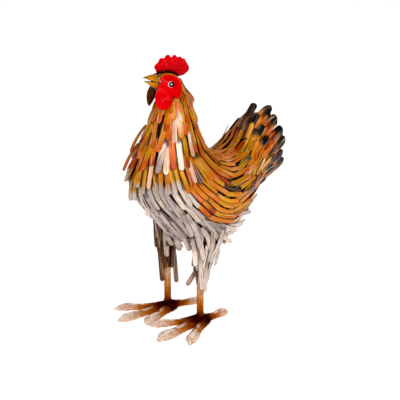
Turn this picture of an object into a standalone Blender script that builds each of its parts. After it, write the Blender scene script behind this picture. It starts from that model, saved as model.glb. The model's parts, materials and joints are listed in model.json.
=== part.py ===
"""A standing hen built from painted sheet steel: rings of cut feathers welded over a shell.

Lengths are in metres and +Z is up. The bird looks along -Y and its left side is +X.
Its form is written in 476ths of its standing height; sheet, tube and gaps have sizes of their own.
The origin is on the floor, under the middle of the bird's bounding box.
"""

import math

import bmesh
import bpy
import numpy as np
from mathutils import Vector
from mathutils.bvhtree import BVHTree

# The whole bird.
STANDING_HEIGHT = 0.476  # floor to the highest point of the comb
UNIT = STANDING_HEIGHT / 476.0  # the bird's own proportions are counted in these

# Stock.
FEATHER_SHEET = 0.0012  # thickness of the body and thigh feathers
TAIL_SHEET = 0.0014  # thickness of the long tail feathers
PLATE_SHEET = 0.0016  # thickness of the face plates
COMB_SHEET = 0.0034  # thickness of the comb
LEG_RADIUS = 0.0062  # outside radius of the leg tube

# Gaps.
SEAT_GAP = 0.0003  # between pieces that touch
COURSE_GAP = 0.0010  # between one course of feathers and the next
TAIL_GAP = 0.0006  # between the shell and the roots of the tail feathers
COMB_GAP = 0.0006  # between the skull's ridge and the comb
FACE_GAP = 0.0012  # between a face plate and the nearest thing under it
SOCKET_GAP = 0.0004  # round a leg in its socket in the shell
LEG_HOLE_GAP = 0.0012  # round a leg where it passes through the belly feathers
THIGH_GAP = 0.0020  # between the belly feathers and the top of the thigh feathers
SOCKET_DEPTH = 0.030  # how far a leg runs up into the shell

# Sections of the body from the top of the neck to past the tail, in 476ths of the height:
# back (y, z), breast or belly (y, z), and half the width.
SECTIONS = (
    (-3, 430, -42, 404, 19),
    (9, 396, -52, 376, 30),
    (20, 356, -66, 333, 41),
    (33, 320, -90, 288, 56),
    (49, 297, -102, 246, 69),
    (68, 288, -64, 192, 71),
    (87, 286, -16, 152, 71),
    (106, 293, 36, 139, 68),
    (124, 305, 92, 156, 60),
    (140, 322, 138, 198, 46),
    (160, 345, 186, 212, 42),
    (181, 369, 238, 232, 40),
)
SHELL_END = 9.0  # the section at which the shell is closed behind
COLUMNS = 18  # feathers in one course
COURSES = 12  # courses of feathers from neck to rump
COURSE_STEP = SHELL_END / COURSES  # sections from one course to the next
CREAM_COURSES = range(5, 9)  # courses painted cream
LEG_COURSES = range(5, 9)  # courses that a leg may pass through

# One body feather, in courses along it and columns across it.
ROOT_AT = 0.10
NOTCH_AT = 1.0
SHOULDER_AT = 1.70
TIP_AT = 2.0
SIDE_INSET = 0.08
TIP_INSET = 0.32

# Tail feathers on one side, top to bottom: the section that each one reaches.
TAIL_TIPS = (10.35, 10.9, 11.0, 10.95, 10.8, 10.75, 10.3)
TAIL_INSET = 0.05
TAIL_RIDGE = 1.6  # how far a tail feather's middle stands above its edges
# A tail feather's rounded end: courses back from its tip, and share of its full width.
TAIL_END = ((0.25, 1.0), (0.08, 0.8), (0.0, 0.36))

# Skull: an ellipsoid tipped back with the beak raised.
SKULL_CENTRE = (-30.0, 427.0)
SKULL_SEMI = (19.0, 31.0, 18.5)  # across, along, up
SKULL_TILT = math.radians(14.0)
SKULL_AROUND = 14
SKULL_ALONG = 9
BEAK_BASE_Y = -56.0

# Beak stations: y, height at the mouth, height at the outside, half the width.
UPPER_BEAK = (
    (BEAK_BASE_Y, 433.4, 446.5, 9.5),
    (-63.0, 435.6, 447.5, 8.0),
    (-71.0, 438.4, 447.0, 5.2),
    (-78.0, 440.4, 445.0, 2.6),
    (-82.5, 440.6, 441.8, 0.7),
)
LOWER_BEAK = (
    (BEAK_BASE_Y, 432.6, 420.5, 8.6),
    (-63.0, 433.9, 424.6, 7.2),
    (-71.0, 435.6, 430.4, 4.8),
    (-77.0, 436.8, 434.2, 2.6),
    (-81.5, 437.7, 436.8, 0.7),
)
BEAK_SHOULDER = (0.82, 0.62)  # a beak's shoulder, as shares of its half width and height

# Comb outline (y, z) from above the beak over its five points to the free back end.
COMB_OUTLINE = (
    (-56, 447), (-61.5, 459), (-58, 464), (-51, 466), (-47.5, 472.5), (-43.5, 472.5), (-40.5, 469.5),
    (-36, 470.5), (-33, 475.2), (-29, 476), (-25, 470), (-21.5, 469.5), (-19, 473.5), (-15.5, 474),
    (-12, 467.5), (-9, 468.5), (-5.5, 468.5), (-3, 464), (1, 464.8), (5, 464), (8, 457), (14, 449),
    (15, 444.5), (11, 439.5), (3, 436),
)
COMB_FOOT = (-5.0, -54.0)  # y from the back to the front of what stands on the skull
COMB_FOOT_STEPS = 7

# Face plate outline (y, z): brow, back, ear lobe, notch, wattle, and the edge beside the beak.
FACE_OUTLINE = (
    (-54, 444), (-47, 446.5), (-38, 444.5), (-29, 439), (-22, 431), (-17.5, 421), (-18.5, 410),
    (-24, 403.5), (-30, 403), (-34.5, 408.5), (-37, 401), (-41, 393.5), (-47.5, 388.5), (-55.5, 388),
    (-63, 391.5), (-67.5, 399), (-69, 409), (-66, 419), (-60.5, 427), (-57, 434.5), (-56.5, 440),
)
FACE_CENTRE = (-46.0, 418.0)
FACE_MIDDLE_RING = 0.55
FACE_REACH = 3.0  # how far round a point of the plate must clear what lies under it
FACE_BOW = 1.2  # how far the plate's free form stands outside the skull
FACE_FLARE = (0.1, 0.3)  # how fast it swings out below the skull, in front and behind
FACE_FLARE_Y = (-70.0, -40.0)
EYE_CENTRE = (-41.0, 430.0)
EYE_RADIUS = 5.2
EYE_SIDES = 8
# Rings of an eye: share of its radius, and height.
EYE_RINGS = ((1.0, 0.0), (1.0, 1.2), (0.72, 2.7), (0.25, 3.4))

# Legs and feet.
LEG_X = 44.0
LEG_SIDES = 12
HUB_FLARE = 4.8  # how far the weld-rounded hub stands out from the tube
HUB_HEIGHT = 13.0
THIGH_SIDES = 10
# Rings of the thigh feathers: height above the floor, and how far they stand out from the tube.
# The top of the lower ones is closed up against the inside of the upper ones.
UPPER_THIGH = ((168.0, 22.0), (122.0, 16.5), (94.0, 10.5), (82.0, 8.0))
LOWER_THIGH = ((104.0, None), (92.0, 5.0), (72.0, 1.5), (61.0, 0.0))
# Toe name, width at the knuckle, and reach from the left and the right leg (outwards, y).
TOES = (
    ("inner", 15.0, (-38.0, -82.0), (-38.0, -82.0)),
    ("middle", 16.0, (11.0, -107.0), (11.0, -107.0)),
    ("outer", 15.0, (56.0, -79.0), (56.0, -79.0)),
    ("back", 13.0, (-2.0, 68.0), (-24.0, 56.0)),
)
# Stations of a toe: share of its length, share of the knuckle width, ridge height, underside height.
TOE_STATIONS = (
    (0.00, 0.33, 12.0, 0.0),
    (0.16, 0.72, 11.5, 1.0),
    (0.52, 0.86, 9.5, 0.6),
    (0.70, 1.00, 11.0, 0.0),
    (0.79, 0.82, 9.0, 0.0),
    (0.84, 0.50, 7.0, 0.4),
    (1.00, 0.10, 2.2, 0.6),
)
TOE_SHOULDER = 0.55  # a toe's shoulder, as a share of the height of its ridge
TOE_FOOT = 0.8  # the underside's width, as a share of the width at the shoulder

# Paint.
COPPER = (0.62, 0.24, 0.03)
CREAM = (0.72, 0.62, 0.53)
CHARCOAL = (0.03, 0.022, 0.02)
SCARLET = (0.72, 0.01, 0.02)
OCHRE = (0.66, 0.36, 0.04)
BROWN = (0.36, 0.17, 0.05)

SIDES = {"left": 1, "right": -1}
OUTWARDS = Vector((1.0, 0.0, 0.0))
UPWARDS = Vector((0.0, 0.0, 1.0))
SMOOTH_BELOW = math.radians(50.0)


def clear_scene():
    """Removes whatever the scene holds."""
    for old in list(bpy.data.objects):
        bpy.data.objects.remove(old)


def paint(name, colour, roughness=0.35, metallic=0.2):
    """Returns a painted metal material."""
    material = bpy.data.materials.new(name)
    material.use_nodes = True
    shader = material.node_tree.nodes["Principled BSDF"]
    shader.inputs["Base Color"].default_value = (*colour, 1.0)
    shader.inputs["Roughness"].default_value = roughness
    shader.inputs["Metallic"].default_value = metallic
    return material


def finished(name, shape, material, smooth=False):
    """Turns a closed bmesh into an object with its faces outwards."""
    bmesh.ops.recalc_face_normals(shape, faces=shape.faces)
    mesh = bpy.data.meshes.new(name)
    shape.to_mesh(mesh)
    shape.free()
    if smooth:
        mesh.shade_smooth()
        mesh.set_sharp_from_angle(angle=SMOOTH_BELOW)
    mesh.materials.append(material)
    piece = bpy.data.objects.new(name, mesh)
    bpy.context.scene.collection.objects.link(piece)
    return piece


def sheet(name, upper, lower, faces, material):
    """Makes a sheet from two lists of points that share their faces, with walls along free edges."""
    shape = bmesh.new()
    tops = [shape.verts.new(point) for point in upper]
    unders = [shape.verts.new(point) for point in lower]
    for face in faces:
        shape.faces.new([tops[i] for i in face])
    shape.verts.index_update()
    walls = [tuple(vertex.index for vertex in edge.verts) for edge in shape.edges if edge.is_boundary]
    for face in faces:
        shape.faces.new([unders[i] for i in reversed(face)])
    for a, b in walls:
        shape.faces.new((tops[a], tops[b], unders[b], unders[a]))
    return finished(name, shape, material)


def lofted(name, rings, material, smooth=False):
    """Makes a solid through rings of points, closed flat at both ends."""
    shape = bmesh.new()
    loops = [[shape.verts.new(point) for point in ring] for ring in rings]
    sides = len(loops[0])
    for near, far in zip(loops, loops[1:]):
        for i in range(sides):
            n = (i + 1) % sides
            shape.faces.new((near[i], near[n], far[n], far[i]))
    shape.faces.new(loops[0])
    shape.faces.new(loops[-1])
    return finished(name, shape, material, smooth)


def turned(name, x, profile, sides, material):
    """Makes a solid turned about an upright axis at x from a profile of radii and heights."""
    turns = [2 * math.pi * i / sides for i in range(sides)]
    rings = [[Vector((x + r * math.cos(t), r * math.sin(t), z)) for t in turns] for r, z in profile]
    return lofted(name, rings, material, smooth=True)


def cut(target, cutter):
    """Takes the cutter's shape out of the target."""
    modifier = target.modifiers.new(f"cut_{cutter.name}", "BOOLEAN")
    modifier.operation = "DIFFERENCE"
    modifier.object = cutter


def surface_of(pieces):
    """Returns a search tree over the pieces' own meshes."""
    points, faces = [], []
    for piece in pieces:
        start = len(points)
        points += [vertex.co.copy() for vertex in piece.data.vertices]
        faces += [tuple(start + i for i in polygon.vertices) for polygon in piece.data.polygons]
    return BVHTree.FromPolygons(points, faces)


def section_at(u):
    """Returns a section's five numbers in metres at u, on a Catmull-Rom curve through SECTIONS."""
    last = len(SECTIONS) - 1
    i = min(int(u), last - 1)
    f = u - i
    b, c = np.array(SECTIONS[i], float), np.array(SECTIONS[i + 1], float)
    a = np.array(SECTIONS[i - 1], float) if i > 0 else 2 * b - c
    d = np.array(SECTIONS[i + 2], float) if i + 2 <= last else 2 * c - b
    curve = 2 * b + (c - a) * f + (2 * a - 5 * b + 4 * c - d) * f**2 + (3 * b - a - 3 * c + d) * f**3
    return 0.5 * curve * UNIT


def body_point(u, v):
    """Returns the body's point at section u and angle v, which is 0 on the back and pi on the belly."""
    back_y, back_z, belly_y, belly_z, half = section_at(u)
    lean = math.cos(v) / 2
    y = (back_y + belly_y) / 2 + (back_y - belly_y) * lean
    z = (back_z + belly_z) / 2 + (back_z - belly_z) * lean
    return Vector((half * math.sin(v), y, z))


def body_normal(u, v):
    """Returns the body's outward direction at section u and angle v."""
    step = 0.02
    low, high = max(u - step, 0.0), min(u + step, len(SECTIONS) - 1.0)
    along = body_point(high, v) - body_point(low, v)
    across = body_point(u, v + step) - body_point(u, v - step)
    return across.cross(along).normalized()


class Lattice:
    """The flat-faced form that the shell and every course share, so that their faces lie parallel."""

    def __init__(self):
        """Works out the points and normals at each course and column."""
        rows = int((len(SECTIONS) - 1) / COURSE_STEP) + 1
        angles = [2 * math.pi * j / COLUMNS for j in range(COLUMNS)]
        self.points = [[body_point(k * COURSE_STEP, v) for v in angles] for k in range(rows)]
        self.normals = [[body_normal(k * COURSE_STEP, v) for v in angles] for k in range(rows)]

    def at(self, course, column, lift):
        """Returns the point at a course and a column, whole or part, lift metres off the shell."""
        k = min(math.floor(course), len(self.points) - 2)
        j = math.floor(column)
        found = Vector((0.0, 0.0, 0.0))
        for row, row_share in ((k, 1 - (course - k)), (k + 1, course - k)):
            for col, col_share in ((j, 1 - (column - j)), (j + 1, column - j)):
                corner = self.points[row][col % COLUMNS] + lift * self.normals[row][col % COLUMNS]
                found += row_share * col_share * corner
        return found


def body_shell(lattice, material):
    """Makes the closed shell that the feathers are welded to."""
    return lofted("body_shell", lattice.points[: COURSES + 1], material)


def feather_course(lattice, course, beneath, material):
    """Makes one ring of feathers, joined along their roots and parted beyond the notches.

    They rise over a sheet of the thickness beneath them. Every other course is set half a column
    round, with a crease down each feather.
    """
    creased = course % 2 == 1
    rise = beneath + COURSE_GAP
    spots, faces = [], []

    def spot(column, q):
        """Notes a point of the sheet, q courses from its root, and returns its number."""
        spots.append((column, q))
        return len(spots) - 1

    columns = [j + 0.5 * creased for j in range(COLUMNS)]
    roots = [spot(column, ROOT_AT) for column in columns]
    notches = [spot(column, NOTCH_AT) for column in columns]
    for i, left in enumerate(columns):
        n, middle, right = (i + 1) % COLUMNS, left + 0.5, left + 1
        shoulder_left = spot(left + SIDE_INSET, SHOULDER_AT)
        shoulder_right = spot(right - SIDE_INSET, SHOULDER_AT)
        if creased:
            root, crease, tip = (spot(middle, q) for q in (ROOT_AT, NOTCH_AT, TIP_AT))
            faces.append((roots[i], root, crease, notches[i]))
            faces.append((root, roots[n], notches[n], crease))
            faces.append((notches[i], crease, tip, shoulder_left))
            faces.append((crease, notches[n], shoulder_right, tip))
        else:
            tip_left, tip_right = spot(left + TIP_INSET, TIP_AT), spot(right - TIP_INSET, TIP_AT)
            faces.append((roots[i], roots[n], notches[n], notches[i]))
            faces.append((notches[i], notches[n], shoulder_right, shoulder_left))
            faces.append((shoulder_left, shoulder_right, tip_right, tip_left))
    lower = [lattice.at(course + q, c, SEAT_GAP + q * rise) for c, q in spots]
    upper = [lattice.at(course + q, c, SEAT_GAP + q * rise + FEATHER_SHEET) for c, q in spots]
    return sheet(f"feather_course_{course + 1:02d}", upper, lower, faces, material)


def tail_feather(lattice, name, column, tip_section, material):
    """Makes one long tail feather with a raised middle and a rounded end.

    Its root lies as deep under the last course as the sheet fits.
    """
    tip = tip_section / COURSE_STEP
    root = COURSES - 1 + (TAIL_GAP + TAIL_SHEET) / (TAIL_SHEET + COURSE_GAP)
    stations = [(root, 1.0), (COURSES, 1.0), (COURSES + 1, 1.0)]
    stations += [(tip - back, width) for back, width in TAIL_END]
    upper, lower = [], []
    for course, width in stations:
        ridge = TAIL_RIDGE * UNIT * min(max(course - COURSES, 0.0), 1.0)
        for side in (-1, 0, 1):
            lift = TAIL_GAP + (ridge if side == 0 else 0.0)
            spot = (course, column + 0.5 + side * (0.5 - TAIL_INSET) * width)
            lower.append(lattice.at(*spot, lift))
            upper.append(lattice.at(*spot, lift + TAIL_SHEET))
    faces = []
    for a in range(0, len(upper) - 3, 3):
        faces += [(a, a + 1, a + 4, a + 3), (a + 1, a + 2, a + 5, a + 4)]
    return sheet(name, upper, lower, faces, material)


def skull(lattice, material):
    """Makes the head: a tipped ellipsoid, cut flat on the neck and behind the beak."""
    centre = Vector((0.0, *SKULL_CENTRE)) * UNIT
    along = Vector((0.0, -math.cos(SKULL_TILT), math.sin(SKULL_TILT)))
    up = Vector((0.0, math.sin(SKULL_TILT), math.cos(SKULL_TILT)))
    across, length, height = (s * UNIT for s in SKULL_SEMI)
    shape = bmesh.new()
    bmesh.ops.create_uvsphere(shape, u_segments=SKULL_AROUND, v_segments=SKULL_ALONG, radius=1.0)
    for vertex in shape.verts:
        x, y, z = vertex.co
        vertex.co = centre + x * across * OUTWARDS + z * length * along + y * height * up
    back, breast = lattice.points[0][0], lattice.points[0][COLUMNS // 2]
    neck_up = Vector((0.0, breast.z - back.z, back.y - breast.y)).normalized()
    cuts = (
        (back + neck_up * SEAT_GAP, -neck_up),
        (Vector((0.0, BEAK_BASE_Y * UNIT, 0.0)), Vector((0.0, -1.0, 0.0))),
    )
    for point, outwards in cuts:
        whole = [*shape.verts, *shape.edges, *shape.faces]
        made = bmesh.ops.bisect_plane(shape, geom=whole, plane_co=point, plane_no=outwards, clear_outer=True)
        rim = [edge for edge in made["geom_cut"] if isinstance(edge, bmesh.types.BMEdge)]
        bmesh.ops.edgenet_fill(shape, edges=rim)
    return finished("head", shape, material, smooth=True)


def skull_top(y):
    """Returns the height of the skull's ridge at y, from the tipped ellipse that it follows."""
    length, height = SKULL_SEMI[1] * UNIT, SKULL_SEMI[2] * UNIT
    sine, cosine = math.sin(SKULL_TILT), math.cos(SKULL_TILT)
    a = (cosine / length) ** 2 + (sine / height) ** 2
    b = sine * cosine * (1 / height**2 - 1 / length**2)
    c = (sine / length) ** 2 + (cosine / height) ** 2
    dy = y - SKULL_CENTRE[0] * UNIT
    return SKULL_CENTRE[1] * UNIT + (math.sqrt((b * dy) ** 2 - c * (a * dy**2 - 1)) - b * dy) / c


def comb(material):
    """Makes the comb: a scalloped plate that stands along the skull."""
    outline = [(y * UNIT, z * UNIT) for y, z in COMB_OUTLINE]
    for y in np.linspace(COMB_FOOT[0] * UNIT, COMB_FOOT[1] * UNIT, COMB_FOOT_STEPS):
        outline.append((y, skull_top(y) + COMB_GAP))
    near, far = ([Vector((x, y, z)) for y, z in outline] for x in (COMB_SHEET / 2, -COMB_SHEET / 2))
    return lofted("comb", (near, far), material)


def beak_half(name, stations, material):
    """Makes half of the beak, flat at the mouth and ridged outside, butting on the skull."""
    wide, high = BEAK_SHOULDER
    rings = []
    for y, mouth, outside, half in stations:
        shoulder = mouth + (outside - mouth) * high
        ring = ((-half, mouth), (-half * wide, shoulder), (0, outside), (half * wide, shoulder), (half, mouth))
        rings.append([Vector((x, y, z)) * UNIT for x, z in ring])
    for point in rings[0]:
        point.y -= SEAT_GAP
    return lofted(name, rings, material)


def free_face(y, z):
    """Returns how far out a face plate stands at y and z where nothing pushes it further."""
    along = (y - SKULL_CENTRE[0]) / SKULL_SEMI[1]
    rise = max(z - SKULL_CENTRE[1], 0.0) / SKULL_SEMI[2]
    fall = max(SKULL_CENTRE[1] - z, 0.0)
    flare = np.interp(y, FACE_FLARE_Y, FACE_FLARE)
    rounding = math.sqrt(max(1.0 - 0.8 * along**2 - 0.75 * rise**2, 0.2))
    return ((SKULL_SEMI[0] + FACE_BOW) * rounding + flare * fall) * UNIT


def highest_out(tree, y, z, reach):
    """Returns how far out the tree's surface comes at y and z and at reach round them."""
    found = 0.0
    for dy, dz in ((0, 0), (reach, 0), (-reach, 0), (0, reach), (0, -reach)):
        hit = tree.ray_cast(Vector((STANDING_HEIGHT, y + dy, z + dz)), -OUTWARDS)[0]
        found = max(found, hit.x if hit else 0.0)
    return found


def face_plate(name, side, tree, material):
    """Makes a face plate with its ear lobe and wattle, bowed over the head and the neck feathers."""
    centre = Vector(FACE_CENTRE)
    rim = [Vector(point) for point in FACE_OUTLINE]
    spots = [centre, *(centre + (point - centre) * FACE_MIDDLE_RING for point in rim), *rim]
    count = len(rim)
    faces = []
    for i in range(count):
        n = (i + 1) % count
        faces.append((0, 1 + i, 1 + n))
        faces.append((1 + i, 1 + count + i, 1 + count + n, 1 + n))
    lower, upper = [], []
    for y, z in spots:
        under = highest_out(tree, y * UNIT, z * UNIT, FACE_REACH * UNIT) + FACE_GAP
        x = max(under, free_face(y, z))
        lower.append(Vector((side * x, y * UNIT, z * UNIT)))
        upper.append(Vector((side * (x + PLATE_SHEET), y * UNIT, z * UNIT)))
    return sheet(name, upper, lower, faces, material)


def eye(name, side, seat_x, material):
    """Makes one domed eye whose base is at seat_x."""
    y, z, radius = EYE_CENTRE[0] * UNIT, EYE_CENTRE[1] * UNIT, EYE_RADIUS * UNIT
    turns = [2 * math.pi * i / EYE_SIDES for i in range(EYE_SIDES)]
    rings = []
    for share, out in EYE_RINGS:
        x, r = side * (seat_x + out * UNIT), share * radius
        rings.append([Vector((x, y + r * math.cos(t), z + r * math.sin(t))) for t in turns])
    return lofted(name, rings, material, smooth=True)


def hub_radius():
    """Returns the radius of the hub at the foot of a leg."""
    return LEG_RADIUS + HUB_FLARE * UNIT


def leg(name, side, top, material):
    """Makes one leg: a tube with a weld-rounded hub at its foot."""
    hub, rise = hub_radius(), HUB_HEIGHT * UNIT
    profile = (
        (hub, 0.0),
        (hub, rise * 0.45),
        (hub * 0.86, rise * 0.8),
        (LEG_RADIUS, rise * 1.35),
        (LEG_RADIUS, top),
    )
    return turned(name, side * LEG_X * UNIT, profile, LEG_SIDES, material)


def toe(name, side, reach, width, material):
    """Makes one toe of folded sheet with a ridge, a knuckle and a claw, butting on the hub."""
    target = Vector((side * reach[0], reach[1], 0.0)) * UNIT
    direction = target.normalized()
    across = UPWARDS.cross(direction)
    hub = side * LEG_X * UNIT * OUTWARDS
    start = hub_radius() + SEAT_GAP
    rings = []
    for share, wide, top, under in TOE_STATIONS:
        centre = hub + direction * (start + share * (target.length - start))
        half, high, low = wide * width / 2 * UNIT, top * UNIT, under * UNIT
        shoulder = low + (high - low) * TOE_SHOULDER
        foot = half * TOE_FOOT
        ring = ((-foot, low), (-half, shoulder), (0.0, high), (half, shoulder), (foot, low))
        rings.append([centre + across * x + UPWARDS * z for x, z in ring])
    return lofted(name, rings, material)


def thigh_rings():
    """Returns the heights and inside radii of the upper and the lower thigh feathers."""
    seat = LEG_RADIUS + SEAT_GAP
    upper = [(z * UNIT, seat + out * UNIT) for z, out in UPPER_THIGH]
    heights, radii = zip(*reversed(upper))
    top = LOWER_THIGH[0][0] * UNIT
    inside = float(np.interp(top, heights, radii)) * math.cos(math.pi / THIGH_SIDES)
    lower = [(top, inside - SEAT_GAP - FEATHER_SHEET)]
    lower += [(z * UNIT, seat + out * UNIT) for z, out in LOWER_THIGH[1:]]
    return upper, lower


def height_under(tree, x, radius, turn):
    """Returns the lowest height of what hangs above a short arc round an upright axis at x."""
    lowest = math.inf
    for swing in np.linspace(-0.5, 0.5, 7) * 2 * math.pi / THIGH_SIDES:
        spot = Vector((x + radius * math.cos(turn + swing), radius * math.sin(turn + swing), 0.0))
        hit = tree.ray_cast(spot, UPWARDS)[0]
        lowest = min(lowest, hit.z) if hit else lowest
    return lowest


def thigh_feathers(name, side, rings, offset, tree, material):
    """Makes one cone of feathers round a leg, parted towards their tips and closed up to the belly."""
    x0 = side * LEG_X * UNIT
    spots, faces = [], []

    def spot(ring, turn):
        """Notes a point at a ring and a part turn round the leg, and returns its number."""
        spots.append((*rings[ring], ring, (turn + offset) * 2 * math.pi / THIGH_SIDES))
        return len(spots) - 1

    tops = [spot(0, i) for i in range(THIGH_SIDES)]
    notches = [spot(1, i) for i in range(THIGH_SIDES)]
    for i in range(THIGH_SIDES):
        n = (i + 1) % THIGH_SIDES
        left, right = spot(2, i + SIDE_INSET), spot(2, i + 1 - SIDE_INSET)
        tip_left, tip_right = spot(3, i + TIP_INSET), spot(3, i + 1 - TIP_INSET)
        faces.append((tops[i], tops[n], notches[n], notches[i]))
        faces.append((notches[i], notches[n], right, left))
        faces.append((left, right, tip_right, tip_left))
    upper, lower = [], []
    for z, radius, ring, turn in spots:
        if ring == 0:
            z = min(z, height_under(tree, x0, radius + FEATHER_SHEET, turn) - THIGH_GAP)
        for skin, reach in ((lower, radius), (upper, radius + FEATHER_SHEET)):
            skin.append(Vector((x0 + reach * math.cos(turn), reach * math.sin(turn), z)))
    return sheet(name, upper, lower, faces, material)


def feathered_body(lattice, copper, cream, charcoal):
    """Makes the shell, its courses of feathers and the tail."""
    shell = body_shell(lattice, charcoal)
    courses = []
    for course in range(COURSES):
        beneath = TAIL_SHEET if course == COURSES - 1 else FEATHER_SHEET
        finish = cream if course in CREAM_COURSES else copper
        courses.append(feather_course(lattice, course, beneath, finish))
    tail = []
    for word, side in SIDES.items():
        for i, tip in enumerate(TAIL_TIPS):
            column = i if side > 0 else -1 - i
            tail.append(tail_feather(lattice, f"tail_feather_{word}_{i + 1}", column, tip, charcoal))
    return shell, courses, tail


def head_pieces(lattice, neck, scarlet, ochre, charcoal):
    """Makes the head with its comb, beak, face plates and eyes; neck is what the plates hang over."""
    head = skull(lattice, ochre)
    made = [head, comb(scarlet)]
    made.append(beak_half("upper_beak", UPPER_BEAK, ochre))
    made.append(beak_half("lower_beak", LOWER_BEAK, ochre))
    under = surface_of([head, *neck])
    plates = [face_plate(f"face_plate_{word}", side, under, scarlet) for word, side in SIDES.items()]
    reach = EYE_RADIUS * UNIT
    seat = highest_out(surface_of(plates[:1]), EYE_CENTRE[0] * UNIT, EYE_CENTRE[1] * UNIT, reach)
    made += plates
    made += [eye(f"eye_{word}", side, seat + SEAT_GAP, charcoal) for word, side in SIDES.items()]
    return made


def leg_pieces(word, shell, courses, brown, cream):
    """Makes one leg with its toes and thigh feathers, and cuts its way into the body."""
    side = SIDES[word]
    x = side * LEG_X * UNIT
    belly = surface_of([shell]).ray_cast(x * OUTWARDS, UPWARDS)[0]
    top = belly.z + SOCKET_DEPTH
    made = [leg(f"leg_{word}", side, top, brown)]
    for kind, width, left_reach, right_reach in TOES:
        reach = left_reach if side > 0 else right_reach
        made.append(toe(f"toe_{kind}_{word}", side, reach, width, brown))
    under = surface_of([shell, *courses])
    upper, lower = thigh_rings()
    made.append(thigh_feathers(f"thigh_feathers_upper_{word}", side, upper, 0.0, under, cream))
    made.append(thigh_feathers(f"thigh_feathers_lower_{word}", side, lower, 0.5, under, cream))
    for kind, gap, end, targets in (
        ("socket", SOCKET_GAP, top + SOCKET_GAP, [shell]),
        ("hole", LEG_HOLE_GAP, top, [courses[i] for i in LEG_COURSES]),
    ):
        corner = (LEG_RADIUS + gap) / math.cos(math.pi / LEG_SIDES)
        cutter = turned(f"{kind}_{word}", x, ((corner, 0.0), (corner, end)), LEG_SIDES, brown)
        cutter.hide_render = True
        cutter.display_type = "WIRE"
        for target in targets:
            cut(target, cutter)
    return made


def stand(pieces):
    """Moves everything so that the origin is under the middle of the pieces' bounding box."""
    lengths = [vertex.co.y for piece in pieces for vertex in piece.data.vertices]
    base = bpy.data.objects.new("stand_point", None)
    bpy.context.scene.collection.objects.link(base)
    for piece in [item for item in bpy.data.objects if item.type == "MESH"]:
        piece.parent = base
    base.location.y = -(min(lengths) + max(lengths)) / 2


def build():
    """Builds the hen."""
    clear_scene()
    copper, cream = paint("copper_paint", COPPER), paint("cream_paint", CREAM)
    charcoal, scarlet = paint("charcoal_paint", CHARCOAL), paint("scarlet_paint", SCARLET)
    ochre, brown = paint("ochre_paint", OCHRE), paint("brown_paint", BROWN)
    lattice = Lattice()
    shell, courses, tail = feathered_body(lattice, copper, cream, charcoal)
    pieces = [shell, *courses, *tail]
    pieces += head_pieces(lattice, [shell, *courses[:3]], scarlet, ochre, charcoal)
    for word in SIDES:
        pieces += leg_pieces(word, shell, courses, brown, cream)
    stand(pieces)


build()
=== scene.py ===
"""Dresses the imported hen: its cut feathers, hammered plates, folded toes, paint and studio.

The bird looks along -Y and its left side is +X. Lengths are in metres. The body's free form and
the outlines of the plates are counted in 476ths of the bird's height, as its solids are.
"""

from __future__ import annotations

import json
import logging
import math
from dataclasses import dataclass, field, replace
from enum import Enum
from typing import Any, Callable, Sequence, Union

import bpy
import numpy as np
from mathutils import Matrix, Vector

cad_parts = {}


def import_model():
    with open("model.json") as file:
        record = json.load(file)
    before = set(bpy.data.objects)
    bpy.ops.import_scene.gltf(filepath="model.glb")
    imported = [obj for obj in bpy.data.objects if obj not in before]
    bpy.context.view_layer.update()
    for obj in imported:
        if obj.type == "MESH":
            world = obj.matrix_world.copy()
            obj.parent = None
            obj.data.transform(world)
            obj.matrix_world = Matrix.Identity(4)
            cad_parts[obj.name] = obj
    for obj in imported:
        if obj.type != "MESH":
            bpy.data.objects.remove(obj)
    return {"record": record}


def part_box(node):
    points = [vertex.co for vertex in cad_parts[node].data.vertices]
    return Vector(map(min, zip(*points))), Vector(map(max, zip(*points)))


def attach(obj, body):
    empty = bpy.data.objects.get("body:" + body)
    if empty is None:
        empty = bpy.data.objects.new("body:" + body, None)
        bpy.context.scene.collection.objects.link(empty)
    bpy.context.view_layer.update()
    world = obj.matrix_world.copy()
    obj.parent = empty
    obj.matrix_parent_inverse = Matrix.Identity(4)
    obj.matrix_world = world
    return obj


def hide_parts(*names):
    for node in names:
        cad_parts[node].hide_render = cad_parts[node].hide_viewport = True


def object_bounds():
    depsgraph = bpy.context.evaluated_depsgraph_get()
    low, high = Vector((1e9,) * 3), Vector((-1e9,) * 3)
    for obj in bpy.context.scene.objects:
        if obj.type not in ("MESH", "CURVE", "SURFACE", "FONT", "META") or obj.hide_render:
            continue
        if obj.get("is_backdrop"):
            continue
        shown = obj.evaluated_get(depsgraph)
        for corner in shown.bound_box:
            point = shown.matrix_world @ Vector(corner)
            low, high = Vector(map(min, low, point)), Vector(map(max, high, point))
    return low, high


Array = np.ndarray
Paint = bpy.types.Material
Rng = np.random.Generator
Pair = tuple[float, float]
Triple = tuple[float, float, float]
Row = tuple[float, ...]
Feed = Union["Socket", float, Sequence[float]]

LOG = logging.getLogger("hen")
BODY = "root"
SIDES = {"left": 1.0, "right": -1.0}
HEIGHT_SHARES = 476.0  # the bird's own proportions are counted in this many parts of its height
SHARP_FROM = math.radians(48.0)

# The body's slanting ovals from the neck to past the tail: back (y, z), belly (y, z), half width.
SECTIONS = np.array((
    (-8, 428, -43, 404, 16.5), (4.5, 395, -56, 376, 28), (15, 356, -72, 333, 40.5), (28, 320, -93, 288, 56),
    (48, 297, -99, 246, 69), (68, 288, -60, 196, 71), (87, 286, -16, 152, 71), (106, 293, 36, 139, 68),
    (124, 305, 92, 156, 60), (140, 322, 138, 198, 46), (160, 345, 186, 212, 42), (181, 369, 238, 232, 40),
), float)


def srgb(*colour: float) -> Triple:
    """Turns display shares of 0 to 255 into linear ones: ((s + 0.055) / 1.055)^2.4, or s / 12.92."""
    shares = (value / 255.0 for value in colour)
    return tuple(s / 12.92 if s <= 0.04045 else ((s + 0.055) / 1.055) ** 2.4 for s in shares)


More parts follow.
